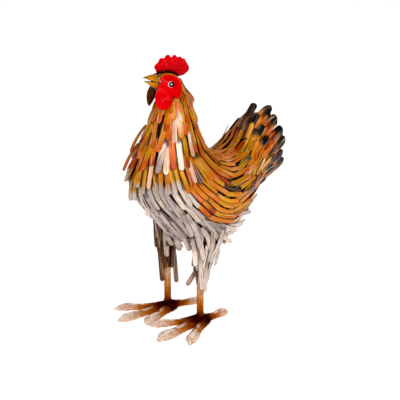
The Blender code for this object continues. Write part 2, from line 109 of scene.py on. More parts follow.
class Coat(Enum):
    """The paints that the bird was brushed with."""

    OCHRE = srgb(206, 142, 6)
    AMBER = srgb(208, 118, 0)
    ORANGE = srgb(204, 90, 2)
    RUST = srgb(166, 58, 4)
    UMBER = srgb(92, 50, 22)
    DUSK = srgb(98, 72, 58)
    BARK = srgb(88, 56, 32)
    TAUPE = srgb(158, 128, 108)
    LILAC = srgb(166, 150, 150)
    BONE = srgb(186, 171, 162)
    CREAM = srgb(216, 198, 184)
    BLUSH = srgb(232, 180, 150)
    CHALK = srgb(244, 220, 204)
    SLATE = srgb(116, 100, 112)
    CHARCOAL = srgb(14, 8, 6)

    @classmethod
    def pick(cls, rng: Rng, count: int, weights: dict[Coat, float]) -> Array:
        """Draws linear colours at random, one row each, as often as their weights say."""
        odds = np.array(list(weights.values()), float)
        return np.array([coat.value for coat in weights])[rng.choice(len(odds), count, p=odds / odds.sum())]

    @classmethod
    def put(cls, rng: Rng, colours: Array, where: Array, weights: dict[Coat, float]) -> None:
        """Draws the chosen rows of colours anew."""
        colours[where] = cls.pick(rng, int(where.sum()), weights)


OCHRE, AMBER, ORANGE, RUST, UMBER, DUSK, BARK, TAUPE, LILAC, BONE, CREAM, BLUSH, CHALK, SLATE, CHARCOAL = Coat
PLAIN_FADE = (0.6, 0.9, 0.0)  # where the root's coat starts and ends to become the tip's, and no smoke
STRIP_ROWS = ("centre", "out", "half", "along", "crown", "seeds")


def smooth_rows(rows: Sequence[Row], t: Array) -> Array:
    """Reads rows of numbers along the Catmull-Rom curve through them.

    Between rows b and c, with a before and d behind them, the curve at f is half of
    2b + (c - a) f + (2a - 5b + 4c - d) f^2 + (3b - a - 3c + d) f^3.

    Args:
        rows: the rows that the curve passes through.
        t: where to read, counted in rows.

    Returns:
        One row of numbers for each t.
    """
    rows, t = np.asarray(rows, float), np.asarray(t, float)
    last = len(rows) - 1
    i = np.clip(np.floor(t).astype(int), 0, last - 1)
    f = (t - i)[..., None]
    b, c = rows[i], rows[i + 1]
    a = np.where((i > 0)[..., None], rows[np.maximum(i - 1, 0)], 2 * b - c)
    d = np.where((i + 2 <= last)[..., None], rows[np.minimum(i + 2, last)], 2 * c - b)
    cubic = (2 * a - 5 * b + 4 * c - d) * f**2 + (3 * b - a - 3 * c + d) * f**3
    return 0.5 * (2 * b + (c - a) * f + cubic)


def ring_rows(corners: Sequence[Pair], count: int) -> Array:
    """Rounds a closed outline to evenly spread points of the Catmull-Rom curve through its corners."""
    rows = np.array(corners, float)
    return smooth_rows(np.vstack([rows[-2:], rows, rows[:3]]), 2 + np.arange(count) * len(rows) / count)


def stacked(*rows: Array) -> Array:
    """Makes vectors of arrays that broadcast together."""
    return np.stack(np.broadcast_arrays(*rows), -1)


def circle(count: int) -> Array:
    """Returns evenly spread angles once round."""
    return np.linspace(0, 2 * math.pi, count, endpoint=False)


def unit(vectors: Array) -> Array:
    """Returns the vectors at length 1."""
    return vectors / np.maximum(np.linalg.norm(vectors, axis=-1, keepdims=True), 1e-12)


def flatten(vectors: Array, normal: Array) -> Array:
    """Returns the unit vectors turned into the plane across a normal: unit(a - (a . n) n)."""
    return unit(vectors - (vectors * normal).sum(-1, keepdims=True) * normal)


def soft_step(value: Array, low: float, high: float) -> Array:
    """Returns 0 below low, 1 above high, and a smooth rise of 3x^2 - 2x^3 between."""
    x = np.clip((np.asarray(value, float) - low) / (high - low), 0.0, 1.0)
    return x * x * (3.0 - 2.0 * x)


def dents(spots: Array, pitch: float, seed: int) -> Array:
    """Gives the relief of hammer blows: (distance to the nearest blow / pitch)^2, at most 1.

    Args:
        spots: points in a plane, two numbers each.
        pitch: how far apart the blows are, on a jittered square grid.
        seed: what fixes the jitter.

    Returns:
        The relief at each spot, 0 in the middle of a blow.
    """
    flat = spots.reshape(-1, 2)
    low, high = flat.min(0) - pitch, flat.max(0) + pitch
    grid = np.stack(np.meshgrid(*(np.arange(a, b, pitch) for a, b in zip(low, high))), -1).reshape(-1, 2)
    blows = grid + np.random.default_rng(seed).uniform(-0.42, 0.42, grid.shape) * pitch
    gaps = np.linalg.norm(flat[:, None] - blows[None], axis=-1).min(1)
    return np.minimum((gaps / pitch) ** 2, 1.0).reshape(spots.shape[:-1])


def mesh_piece(
    name: str, points: Array, faces: Sequence[Array], marks: dict[str, Array], paint: Paint,
    stands_for: Sequence[str] = (),
) -> None:
    """Puts arrays into a mesh, and makes it a piece that rides on the bird.

    Args:
        name: the piece's name.
        points: its points, three numbers each.
        faces: arrays of faces, each with as many columns as its faces have corners.
        marks: what its paint reads: a number, or three for a vector or a colour, at each point.
        paint: its paint.
        stands_for: the solids that it replaces.
    """
    mesh = bpy.data.meshes.new(name)
    corners = np.concatenate([block.ravel() for block in faces])
    sizes = np.concatenate([np.full(len(block), block.shape[1]) for block in faces])
    mesh.vertices.add(points.size // 3)
    mesh.vertices.foreach_set("co", points.astype(np.float32).ravel())
    mesh.loops.add(len(corners))
    mesh.loops.foreach_set("vertex_index", corners.astype(np.int32))
    mesh.polygons.add(len(sizes))
    mesh.polygons.foreach_set("loop_start", (np.cumsum(sizes) - sizes).astype(np.int32))
    mesh.update(calc_edges=True)
    for mark, values in marks.items():
        kind, part = ("FLOAT_VECTOR", "vector") if values.size == points.size else ("FLOAT", "value")
        mesh.attributes.new(mark, kind, "POINT").data.foreach_set(part, values.astype(np.float32).ravel())
    mesh.shade_smooth()
    mesh.set_sharp_from_angle(angle=SHARP_FROM)
    mesh.materials.append(paint)
    piece = bpy.data.objects.new(name, mesh)
    bpy.context.scene.collection.objects.link(piece)
    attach(piece, BODY)
    if stands_for:
        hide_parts(*stands_for)
    LOG.info("%s: %d points, %d faces", name, points.size // 3, len(sizes))


def closed_piece(
    name: str, rings: Array, marks: dict[str, Array], paint: Paint, slot: str, stands_for: Sequence[str] = ()
) -> None:
    """Closes rings of points into one skin, with a fan of triangles at each end, as a piece.

    Args:
        name: the piece's name.
        rings: the points, as rings along the form by points round it.
        marks: what its paint reads at the same points. A pole takes the mean of its ring.
        paint: its paint.
        slot: the record's finish, not used.
        stands_for: the solids that it replaces.
    """
    count, around = rings.shape[:2]
    index = np.arange(count * around).reshape(count, around)
    turned = np.roll(index, -1, axis=1)
    quads = np.stack([index[:-1], turned[:-1], turned[1:], index[1:]], -1).reshape(-1, 4)
    fan_first = np.stack([turned[0], index[0], np.full(around, count * around)], -1)
    fan_last = np.stack([index[-1], turned[-1], np.full(around, count * around + 1)], -1)
    points = np.vstack([rings.reshape(-1, 3), rings[0].mean(0), rings[-1].mean(0)])
    a, b, c = (points[quads[:, k]] - points.mean(0) for k in (0, 1, 2))
    faces = [quads, fan_first, fan_last]
    if np.einsum("ij,ij->i", np.cross(a, b), c).sum() < 0:
        faces = [block[:, ::-1] for block in faces]
    carried = {}
    for mark, values in marks.items():
        poles = (values[end].mean(0).reshape(1, -1) for end in (0, -1))
        carried[mark] = np.vstack([values.reshape(count * around, -1), *poles])
    mesh_piece(name, points, faces, carried, paint, stands_for)


def operator(operation: str, flipped: bool = False) -> Callable[..., Socket]:
    """Makes the method of a Python operator.

    Args:
        operation: the operation of its Math node.
        flipped: whether the other value comes first, as in a reflected operator.

    Returns:
        The method.
    """

    def work(self: Socket, other: Feed = 0.0) -> Socket:
        """Adds the Math node."""
        pair = (other, self) if flipped else (self, other)
        return self.tree.node("Math", dict(enumerate(pair)), operation=operation)

    return work


class Socket:
    """One value of a paint's node tree, with Python's operators as its Math nodes."""

    __add__, __radd__ = operator("ADD"), operator("ADD", True)
    __sub__, __rsub__ = operator("SUBTRACT"), operator("SUBTRACT", True)
    __mul__, __rmul__ = operator("MULTIPLY"), operator("MULTIPLY", True)
    __abs__ = operator("ABSOLUTE")

    def __init__(self, tree: PaintTree, socket: bpy.types.NodeSocket) -> None:
        """Holds a socket of a tree."""
        self.tree, self.socket = tree, socket


class PaintTree:
    """The node tree of one painted finish."""

    def __init__(self, name: str) -> None:
        """Starts a material with a Principled shader."""
        self.material = bpy.data.materials.new(name)
        self.material.use_nodes = True

    def node(self, kind: str, feeds: dict[Any, Feed], output: Any = 0, **settings: Any) -> Socket:
        """Adds one node.

        Args:
            kind: the node's type, after ShaderNode.
            feeds: the values or links of its sockets, by name or number.
            output: which output to give.
            settings: its properties, and for a ramp its stops as (place, colour).

        Returns:
            The wanted output.
        """
        made = self.material.node_tree.nodes.new(f"ShaderNode{kind}")
        stops = settings.pop("stops", ())
        for name, value in settings.items():
            setattr(made, name, value)
        while stops and len(made.color_ramp.elements) < len(stops):
            made.color_ramp.elements.new(0.5)
        for k, (place, colour) in enumerate(stops):
            made.color_ramp.elements[k].position = place
            made.color_ramp.elements[k].color = (*colour, 1.0)
        self.feed(made, feeds)
        return Socket(self, made.outputs[output])

    def feed(self, made: bpy.types.Node, feeds: dict[Any, Feed]) -> None:
        """Links or sets a node's sockets.

        Args:
            made: the node.
            feeds: the values or links of its sockets, by name or number.
        """
        for key, value in feeds.items():
            if isinstance(value, Socket):
                self.material.node_tree.links.new(value.socket, made.inputs[key])
            else:
                colour = made.inputs[key].type == "RGBA"
                made.inputs[key].default_value = (*value, 1.0) if colour else value

    def blend(self, share: Feed, first: Feed, second: Feed, mode: str = "MIX") -> Socket:
        """Mixes two colours by a share."""
        settings = {"data_type": "RGBA", "blend_type": mode, "clamp_factor": True}
        return self.node("Mix", {0: share, 6: first, 7: second}, 2, **settings)

    def step(self, value: Feed, low: Feed, high: Feed) -> Socket:
        """Rises smoothly from 0 at low to 1 at high."""
        feeds = {0: value, 1: low, 2: high, 3: 0.0, 4: 1.0}
        return self.node("MapRange", feeds, interpolation_type="SMOOTHSTEP")

    def over(
        self, paint: Feed, value: Feed, low: float, high: float, part: float, colour: Feed, mode: str = "MIX"
    ) -> Socket:
        """Brushes part of a colour over the paint, as a value rises from low to high."""
        share = self.step(value, low, high)
        return self.blend(share * part if part < 1.0 else share, paint, colour, mode)

    def mark(self, name: str, output: str = "Fac") -> Socket:
        """Reads what a mesh's points carry under a name."""
        return self.node("Attribute", {}, output, attribute_name=name)

    def place(self) -> Socket:
        """Gives Object coordinates."""
        return self.node("TexCoord", {}, "Object")

    def join(self, x: Feed, y: Feed, z: Feed) -> Socket:
        """Makes a vector from three values."""
        return self.node("CombineXYZ", {0: x, 1: y, 2: z})

    def split(self, vector: Socket) -> list[Socket]:
        """Gives a vector's three values."""
        outputs = self.node("SeparateXYZ", {0: vector}).socket.node.outputs
        return [Socket(self, outputs[k]) for k in range(3)]

    def noise(self, vector: Feed, scale: float, detail: float = 2.0, roughness: float = 0.5) -> Socket:
        """Gives a noise of 0 to 1 around a half."""
        feeds = {"Vector": vector, "Scale": scale, "Detail": detail, "Roughness": roughness}
        return self.node("TexNoise", feeds)

    def cells(self, vector: Feed, scale: float) -> Socket:
        """Gives the distance to the nearest of scattered points, for a hammered face."""
        feeds = {"Vector": vector, "Scale": scale, "Smoothness": 0.35}
        return self.node("TexVoronoi", feeds, feature="SMOOTH_F1")

    def finish(self, colour: Feed, roughness: Feed, height: Feed, depth: float, **steady: Any) -> Paint:
        """Links the shader.

        Args:
            colour: the paint's colour.
            roughness: its roughness.
            height: its relief, from 0 to 1.
            depth: how deep the relief is.
            steady: values of other sockets, the same all over, with _ for a space in the name.

        Returns:
            The material.
        """
        normal = self.node("Bump", {"Strength": 1.0, "Distance": depth, "Height": height})
        steady = {"Specular_IOR_Level": 0.3, **steady}
        feeds = {"Base Color": colour, "Roughness": roughness, "Normal": normal}
        feeds.update({name.replace("_", " "): value for name, value in steady.items()})
        self.feed(self.material.node_tree.nodes["Principled BSDF"], feeds)
        return self.material


@dataclass(frozen=True)
class FeatherPaint:
    """Brushed lacquer on cut strips: two coats along each, streaks, painted highlights, dark edges, painted
    root shade.
    """

    name: str = "feather_paint"
    edge: Triple = srgb(44, 22, 12)
    under: Triple = srgb(70, 42, 26)
    root_from: float = 0.47
    root_to: float = 0.36
    streak_depth: float = 0.0005

    def build(self) -> Paint:
        """Builds the paint.

        Returns:
            The material.
        """
        tree = PaintTree(self.name)
        along, across, seed = tree.split(tree.mark("lay", "Vector"))
        start, end, smoke = tree.split(tree.mark("fade", "Vector"))
        shift = seed * 61.0

        def brush(wide: float, long: float, turn: float, detail: float = 3.0, rough: float = 0.65) -> Socket:
            """Gives a noise drawn out along the strip, another one on each strip."""
            spot = tree.join(across * wide + shift, along * long, shift + turn)
            return tree.noise(spot, 1.0, detail, rough)

        streak = tree.noise(tree.join(across * 2.6 + shift, along * 2.0 + shift, shift), 1.0, 3.0, 0.7)
        blotch = brush(0.9, 5.0, 9.0, 2.0, 0.5)
        fine = brush(8.0, 9.0, 23.0, 2.0, 0.6)
        share = tree.step(along + (streak - 0.5) * 0.3, start, end)
        paint = tree.blend(share, tree.mark("root_coat", "Vector"), tree.mark("tip_coat", "Vector"))
        worn = tree.blend(1.0, paint, tree.mark("streak_coat", "Vector"), "MULTIPLY")
        paint = tree.over(paint, streak, 0.50, 0.66, 1.0, worn)
        # Pale pinkish streaks: painted highlights, as glints along the lacquered strips.
        paint = tree.over(paint, brush(2.2, 2.0, 77.0), 0.56, 0.66, 0.44, srgb(255, 212, 170))
        paint = tree.over(paint, brush(1.6, 3.2, 51.0), 0.56, 0.74, 0.34, srgb(150, 84, 46), "MULTIPLY")
        band = tree.step(along, 0.50, 0.62) * (1.0 - tree.step(along, 0.84, 0.97))
        paint = tree.blend(smoke * tree.step(abs(across), 0.75, 0.2) * band, paint, CHARCOAL.value)
        # Painted shade: each strip's root darkens towards charcoal by its shade mark, as if under the row
        # above.
        root_shade = (1.0 - tree.step(along, self.root_to, self.root_from)) * tree.mark("shade")
        paint = tree.blend(root_shade, paint, CHARCOAL.value)
        paint = tree.over(paint, abs(across) + (fine - 0.5) * 0.3, 0.86, 1.0, 0.72, self.edge)
        under = 1.0 - tree.step(tree.mark("face"), 0.45, 0.9)
        paint = tree.blend(under, paint, tree.blend(0.5, paint, self.under))
        relief = streak * 0.5 + fine * 0.2 + blotch * 0.3
        steady = {"Metallic": 0.2, "Specular_IOR_Level": 0.26}
        return tree.finish(paint, 0.24 + fine * 0.26, relief, self.streak_depth, **steady)


@dataclass(frozen=True)
class RedEnamel:
    """Glossy scarlet enamel over hammered plate, with painted shade where the plate meets the head."""

    name: str = "red_enamel"
    inside: Triple = srgb(96, 62, 10)
    shade: Triple = srgb(34, 0, 4)
    blow_scale: float = 240.0

    def build(self) -> Paint:
        """Builds the paint.

        Returns:
            The material.
        """
        tree = PaintTree(self.name)
        place = tree.place()
        cell, cloud = tree.cells(place, self.blow_scale), tree.noise(place, 90.0, 3.0)
        highlight_fleck = tree.noise(place, 420.0, 1.0)
        paint = tree.over(srgb(208, 0, 8), cloud, 0.35, 0.75, 1.0, srgb(232, 2, 16))
        paint = tree.over(paint, cell, 0.30, 0.62, 0.22, srgb(150, 0, 8))
        # Pale pinkish flecks: painted highlights, as small glints on the hammered enamel.
        paint = tree.over(paint, highlight_fleck, 0.66, 0.76, 0.4, srgb(255, 96, 104))
        # Painted shade: the foot mark darkens the red to near black.
        foot = tree.mark("foot")
        paint = tree.blend(foot + (cloud - 0.5) * 0.3 * foot, paint, self.shade)
        paint = tree.blend(1.0 - tree.step(tree.mark("face"), 0.3, 0.7), paint, self.inside)
        relief = cell * 0.8 + cloud * 0.2
        return tree.finish(paint, 0.26 + cloud * 0.2, relief, 0.0003, Specular_IOR_Level=0.10)


@dataclass(frozen=True)
class OchreLacquer:
    """Mustard lacquer on the head and beak, brown at the brow, crown and beak's ends, and painted shade
    inside the beak.
    """

    name: str = "ochre_lacquer"
    brown: Triple = srgb(92, 46, 14)

    def build(self) -> Paint:
        """Builds the paint.

        Returns:
            The material.
        """
        tree = PaintTree(self.name)
        place = tree.place()
        cloud, speck, dark = tree.noise(place, 120.0, 3.0), tree.noise(place, 520.0), tree.mark("foot")
        paint = tree.over(srgb(176, 104, 6), cloud, 0.35, 0.68, 1.0, srgb(212, 146, 14))
        paint = tree.blend(dark + (cloud - 0.5) * 0.5 * dark, paint, self.brown)
        # Painted shade: a mark above 1.1 turns the lacquer black, as inside the open beak.
        paint = tree.over(paint, dark, 1.1, 1.5, 1.0, CHARCOAL.value)
        paint = tree.over(paint, speck, 0.62, 0.8, 0.4, srgb(150, 84, 14))
        relief = cloud * 0.7 + speck * 0.3
        return tree.finish(paint, 0.26 + speck * 0.2, relief, 0.0006, Specular_IOR_Level=0.2)


@dataclass(frozen=True)
class LegLacquer:
    """Amber lacquer over tube and folded toes: nearly black at the hub and cream at the claws."""

    name: str = "leg_lacquer"
    stops: tuple[tuple[float, Triple], ...] = (
        (0.0, srgb(30, 8, 0)), (0.16, srgb(66, 24, 2)), (0.34, srgb(150, 72, 6)),
        (0.52, srgb(198, 124, 48)), (0.64, srgb(224, 188, 160)), (1.0, srgb(238, 214, 196)),
    )

    def build(self) -> Paint:
        """Builds the paint.

        Returns:
            The material.
        """
        tree = PaintTree(self.name)
        place = tree.place()
        reach, ridge, _ = tree.split(tree.mark("lay", "Vector"))
        cloud, fine = tree.noise(place, 85.0, 3.0, 0.6), tree.noise(place, 300.0)
        blows = tree.cells(place, 90.0)
        x, y, z = tree.split(place)
        brush = tree.noise(tree.join(x * 420.0, y * 420.0, z * 26.0), 1.0, 2.0, 0.6)
        worn = reach + (cloud - 0.5) * 0.26 + (brush - 0.5) * 0.24
        paint = tree.node("ValToRGB", {0: worn}, stops=self.stops)
        paint = tree.over(paint, fine, 0.55, 0.72, 0.25, srgb(170, 110, 70), "MULTIPLY")
        low = (1.0 - tree.step(ridge, 0.05, 0.45)) * tree.step(cloud, 0.36, 0.60)
        paint = tree.blend(low * 0.75, paint, srgb(166, 84, 12))
        paint = tree.over(paint, blows, 0.30, 0.62, 0.22, srgb(200, 150, 118), "MULTIPLY")
        # Painted shade: thin dark lines that stand for the shade in creases of the crumpled sheet.
        crease_shade = abs(tree.noise(place, 95.0, 2.0, 0.6) - 0.5)
        paint = tree.over(paint, crease_shade, 0.030, 0.0, 0.7, srgb(186, 108, 62), "MULTIPLY")
        # Painted highlight: near white along the toes' ridges.
        crest = tree.step(ridge, 0.80, 1.0) * tree.step(cloud, 0.38, 0.54) * tree.step(reach, 0.22, 0.5)
        paint = tree.blend(crest * 0.8, paint, srgb(255, 240, 226))
        relief = blows * 0.6 + cloud * 0.2 + fine * 0.2
        return tree.finish(paint, 0.30 + fine * 0.22, relief, 0.0016, Specular_IOR_Level=0.045)


@dataclass(frozen=True)
class EyeEnamel:
    """Black enamel with a pale ring, pale at the front and dark red behind as painted light and shade, and a
    painted glint.
    """

    name: str = "eye_enamel_paint"
    ring_from: float = 0.92
    glint: Pair = (-0.26, 0.10)

    def build(self) -> Paint:
        """Builds the paint.

        Returns:
            The material.
        """
        tree = PaintTree(self.name)
        radius, across, up = tree.split(tree.mark("lay", "Vector"))
        cloud = tree.noise(tree.place(), 400.0)
        # Painted light and shade on the ring: pale towards the front, dark red towards the back.
        lit = tree.over(srgb(240, 206, 194), across, -0.2, 0.7, 1.0, srgb(96, 20, 22))
        ring = radius + (cloud - 0.5) * 0.16
        paint = tree.over(srgb(4, 4, 6), ring, self.ring_from - 0.03, self.ring_from + 0.04, 1.0, lit)
        side, rise = across - self.glint[0], up - self.glint[1]
        spot = 1.0 - tree.step(side * side + rise * rise, 0.025, 0.07)
        paint = tree.blend(spot, paint, srgb(236, 240, 246))
        return tree.finish(paint, 0.12 + cloud * 0.06, cloud, 0.0001, Specular_IOR_Level=0.15)


@dataclass(frozen=True)
class CloudPaint:
    """A dark and a lighter paint that a cloud mixes, with pale spots of painted highlight if it has any."""

    name: str
    scale: float
    detail: float
    mix: Pair
    colours: tuple[Triple, Triple]
    roughness: Pair
    coat: float = 0.0
    glint_spots: Triple | None = None

    def build(self) -> Paint:
        """Builds the paint.

        Returns:
            The material.
        """
        tree = PaintTree(self.name)
        cloud = tree.noise(tree.place(), self.scale, self.detail, 0.6)
        paint = tree.over(self.colours[0], cloud, *self.mix, 1.0, self.colours[1])
        if self.glint_spots:
            # Pale spots: painted highlights, as glints on the weld's lumps.
            paint = tree.over(paint, cloud, 0.58, 0.66, 1.0, self.glint_spots)
        base, more = self.roughness
        return tree.finish(paint, base + cloud * more, cloud, 0.0006, Coat_Weight=self.coat)


# Burnt brown weld with pale painted highlights on its lumps, and the shell's dark undercoat, painted
# near black as the shade that shows only between the feathers.
WELD = CloudPaint(
    "weld_paint", 260.0, 3.0, (0.35, 0.55), (srgb(34, 12, 10), srgb(96, 44, 20)), (0.3, 0.2), 0.2,
    srgb(226, 186, 176),
)
SHADE = CloudPaint("shade_paint", 60.0, 4.0, (0.4, 0.7), (srgb(18, 12, 10), srgb(52, 28, 16)), (0.5, 0.3))


@dataclass(frozen=True)
class BodyForm:
    """The body's free form: slanting ovals from the neck to past the tail, on a smooth curve.

    A point is named by u, counted in sections from the neck, and v, the angle round the body,
    which is 0 on the back and pi on the belly.
    """

    leg_y: float
    share: float
    nudge: float = 0.02

    def flat(self, spots: Array) -> Array:
        """Turns (y, z) in 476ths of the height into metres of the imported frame."""
        return spots * self.share + np.array((self.leg_y, 0.0))

    def metres(self, x: Array, y: Array, z: Array) -> Array:
        """Turns x, y and z in 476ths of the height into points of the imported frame."""
        return stacked(x * self.share, y * self.share + self.leg_y, z * self.share)

    def point(self, u: Array, v: Array) -> Array:
        """Gives points of the surface.

        Across it is the half width times sin v, and along the slant it is the oval's middle plus
        half of the way from belly to back times cos v.

        Args:
            u: sections from the neck.
            v: angles round the body.

        Returns:
            The points, for u and v together.
        """
        u, v = np.broadcast_arrays(np.asarray(u, float), np.asarray(v, float))
        back_y, back_z, belly_y, belly_z, half = np.moveaxis(smooth_rows(SECTIONS, u) * self.share, -1, 0)
        lean = np.cos(v) / 2
        y = (back_y + belly_y) / 2 + (back_y - belly_y) * lean + self.leg_y
        z = (back_z + belly_z) / 2 + (back_z - belly_z) * lean
        return np.stack([half * np.sin(v), y, z], -1)

    def ways(self, u: Array, v: Array) -> tuple[Array, Array, Array]:
        """Gives the ways along and round the surface, and the unit way out, which is their cross product.

        Args:
            u: sections from the neck.
            v: angles round the body.

        Returns:
            How a point moves with u, how it moves with v, and the way out.
        """
        along = (self.point(u + self.nudge, v) - self.point(u - self.nudge, v)) / (2 * self.nudge)
        round_ = (self.point(u, v + self.nudge) - self.point(u, v - self.nudge)) / (2 * self.nudge)
        return along, round_, unit(np.cross(round_, along))


@dataclass
class FlowLines:
    """Distances along the lines of constant angle, down which the feathers point."""

    form: BodyForm
    first: float = -0.5
    last: float = 11.0
    places: int = 231
    line_gap: float = 3.0
    u: Array = field(init=False)
    gone: Array = field(init=False)

    def __post_init__(self) -> None:
        """Measures the lines: the sum of the short steps from the first section."""
        self.u = np.linspace(self.first, self.last, self.places)
        path = self.form.point(self.u[:, None], np.radians(np.arange(0.0, 360.0, self.line_gap)))
        steps = np.linalg.norm(np.diff(path, axis=0), axis=-1)
        self.gone = np.pad(np.cumsum(steps, axis=0), ((1, 0), (0, 0)))

    def _lines(self, v: Array) -> Array:
        """Reads the distances at each angle, straight between the measured lines.

        Args:
            v: the angles.

        Returns:
            The distances at every place, one column for each angle.
        """
        count = self.gone.shape[1]
        turn = (v / (2 * math.pi)) % 1.0 * count
        j, f = np.floor(turn).astype(int) % count, turn - np.floor(turn)
        return self.gone[:, j] * (1 - f) + self.gone[:, (j + 1) % count] * f

    def section(self, distance: Array, v: Array) -> Array:
        """Finds where a line has gone a distance.

        Args:
            distance: metres along the line from the first section.
            v: the lines' angles.

        Returns:
            u at each.
        """
        flat = distance.ravel()
        lines = self._lines(np.broadcast_to(v, distance.shape).ravel())
        i, pick = np.clip((lines <= flat).sum(0) - 1, 0, len(self.u) - 2), np.arange(len(flat))
        low, high = lines[i, pick], lines[i + 1, pick]
        f = (flat - low) / np.maximum(high - low, 1e-9)
        return (self.u[i] + f * (self.u[i + 1] - self.u[i])).reshape(distance.shape)

    def distance(self, u: Array, v: Array) -> Array:
        """Gives how far each line has gone at u.

        Args:
            u: sections from the neck.
            v: the lines' angles.

        Returns:
            Metres from the first section.
        """
        lines, last = self._lines(v), len(self.u) - 1
        spot = np.clip((u - self.first) / (self.last - self.first) * last, 0, last - 0.001)
        i, pick = spot.astype(int), np.arange(len(u))
        return lines[i, pick] * (1 - spot + i) + lines[i + 1, pick] * (spot - i)


def coats(
    root: Array, tip: Array, streak: Array | Triple, fade: Array | Triple, shade: Array
) -> dict[str, Array]:
    """Names the paint of each strip.

    Args:
        root: the colours at the roots.
        tip: the colours at the tips.
        streak: the colours of the streaks.
        fade: where the root's coat starts and ends to become the tip's, and how smoky the strip is.
        shade: how dark the root is in the row above's shadow.

    Returns:
        What each mark of the paint reads, one row for each strip.
    """
    streak, fade = (np.broadcast_to(rows, root.shape) for rows in (streak, fade))
    return {"shade": shade, "root_coat": root, "tip_coat": tip, "streak_coat": streak, "fade": fade}


@dataclass
class Strips:
    """A batch of cut strips, each with a centre line, the way out of its face, and half widths.

    A strip's outer skin at station s and share t of its half width h is
    centre + side * t * h + out * crown * (1 - t^2), and its inner skin lies one thickness under it.
    """

    centre: Array
    out: Array
    half: Array
    along: Array
    crown: Array
    seeds: Array
    marks: dict[str, Array]
    thickness: float = 0.0010
    across: Row = (-1.0, -0.45, 0.45, 1.0)

    def take(self, chosen: Array) -> Strips:
        """Returns the chosen strips."""
        rows = {name: getattr(self, name)[chosen] for name in STRIP_ROWS}
        return replace(self, **rows, marks={mark: values[chosen] for mark, values in self.marks.items()})

    def join(self, *others: Strips) -> Strips:
        """Puts batches of strips with the same stations together.

        Args:
            others: the batches that follow this one.

        Returns:
            One batch.
        """
        batches = (self, *others)
        rows = {name: np.concatenate([getattr(batch, name) for batch in batches]) for name in STRIP_ROWS}
        marks = {mark: np.concatenate([batch.marks[mark] for batch in batches]) for mark in self.marks}
        return replace(self, **rows, marks=marks)

    def _faces(self) -> Array:
        """Lists the faces of one strip: two skins, two long edges and two ends, facing outwards.

        Returns:
            Four corners for each.
        """
        stations, columns = self.half.shape[1], len(self.across)
        top, low = np.arange(2 * stations * columns).reshape(2, stations, columns)
        skin = [top[:-1, :-1], top[1:, :-1], top[1:, 1:], top[:-1, 1:]]
        back = [low[:-1, :-1], low[:-1, 1:], low[1:, 1:], low[1:, :-1]]
        near = [top[:-1, 0], low[:-1, 0], low[1:, 0], top[1:, 0]]
        far = [top[:-1, -1], top[1:, -1], low[1:, -1], low[:-1, -1]]
        root = [top[0, :-1], top[0, 1:], low[0, 1:], low[0, :-1]]
        tip = [top[-1, :-1], low[-1, :-1], low[-1, 1:], top[-1, 1:]]
        return np.vstack([np.stack(face, -1).reshape(-1, 4) for face in (skin, back, near, far, root, tip)])

    def build(self, name: str, paint: Paint, slot: str, stands_for: Sequence[str] = ()) -> None:
        """Makes one piece of all the strips.

        Args:
            name: the piece's name.
            paint: its paint.
            slot: the record's finish, not used.
            stands_for: the solids that it replaces.
        """
        t = np.array(self.across)
        count, stations = self.half.shape
        shape, size = (count, 2, stations, len(t)), 2 * stations * len(t)
        tangent = np.gradient(self.centre, axis=1)
        side = unit(np.cross(self.out, tangent))
        out = unit(np.cross(tangent, side))[:, :, None]
        shares = self.half / self.half.max(axis=1, keepdims=True)
        bow = (self.crown[:, None] * shares)[..., None] * (1 - t**2)
        reach = self.half[..., None] * t
        skin = self.centre[:, :, None] + side[:, :, None] * reach[..., None] + out * bow[..., None]
        points = np.stack([skin, skin - out * self.thickness], 1)
        faces = (self._faces()[None] + (np.arange(count) * size)[:, None, None]).reshape(-1, 4)
        lay = (self.along[:, None, :, None], t, self.seeds[:, None, None, None])
        marks = {"lay": np.stack([np.broadcast_to(values, shape) for values in lay], -1)}
        marks["face"] = np.broadcast_to(np.array((1.0, 0.0))[:, None, None], shape)
        marks.update({mark: np.repeat(rows, size, axis=0) for mark, rows in self.marks.items()})
        mesh_piece(name, points, [faces], marks, paint, stands_for)


def strip_stations(length: Array, half: Array, blunt: Array, body: int = 6) -> tuple[Array, Array]:
    """Spaces the stations of strips, with more of them round the tip.

    The tip is half an ellipse: at k of its depth back from the end it is sqrt(1 - (1 - k)^2) wide.

    Args:
        length: each strip's length.
        half: its half width.
        blunt: the depth of its rounded tip, in half widths.
        body: how many stations lie before the tip.

    Returns:
        Each station's share of the length, and its share of the half width.
    """
    depth = (half * blunt / length)[:, None]
    back, even = np.array((0.5, 0.15, 0.0)), np.linspace(0.0, 1.0, body)
    width = np.sqrt(1 - (1 - back) ** 2)
    width[-1] = 0.16
    root = np.interp(even, (0.0, 0.35, 1.0), (0.78, 1.0, 1.0))
    along = np.hstack([even * (1 - depth), 1 - depth * back])
    return along, np.tile(np.concatenate([root, width]), (len(length), 1))


def twisted(out: Array, centre: Array, angle: Array) -> Array:
    """Turns the faces of strips about their centre lines, by out cos a + across sin a."""
    across = unit(np.cross(out, np.gradient(centre, axis=1)))
    return unit(out * np.cos(angle) + across * np.sin(angle))


@dataclass
class Shell:
    """The hollow form under the feathers, seen only as dark gaps between them: a dark undercoat that is also
    painted shade.
    """

    form: BodyForm
    paint: Paint
    last: float = 9.0

    def build(self) -> None:
        """Makes the shell: the body's ovals from the neck to the rump, closed at both ends."""
        u, v = np.linspace(0.0, self.last, 64)[:, None], np.linspace(-math.pi, math.pi, 60, endpoint=False)
        closed_piece("inner_form", self.form.point(u, v), {}, self.paint, "shell", ["body_shell"])


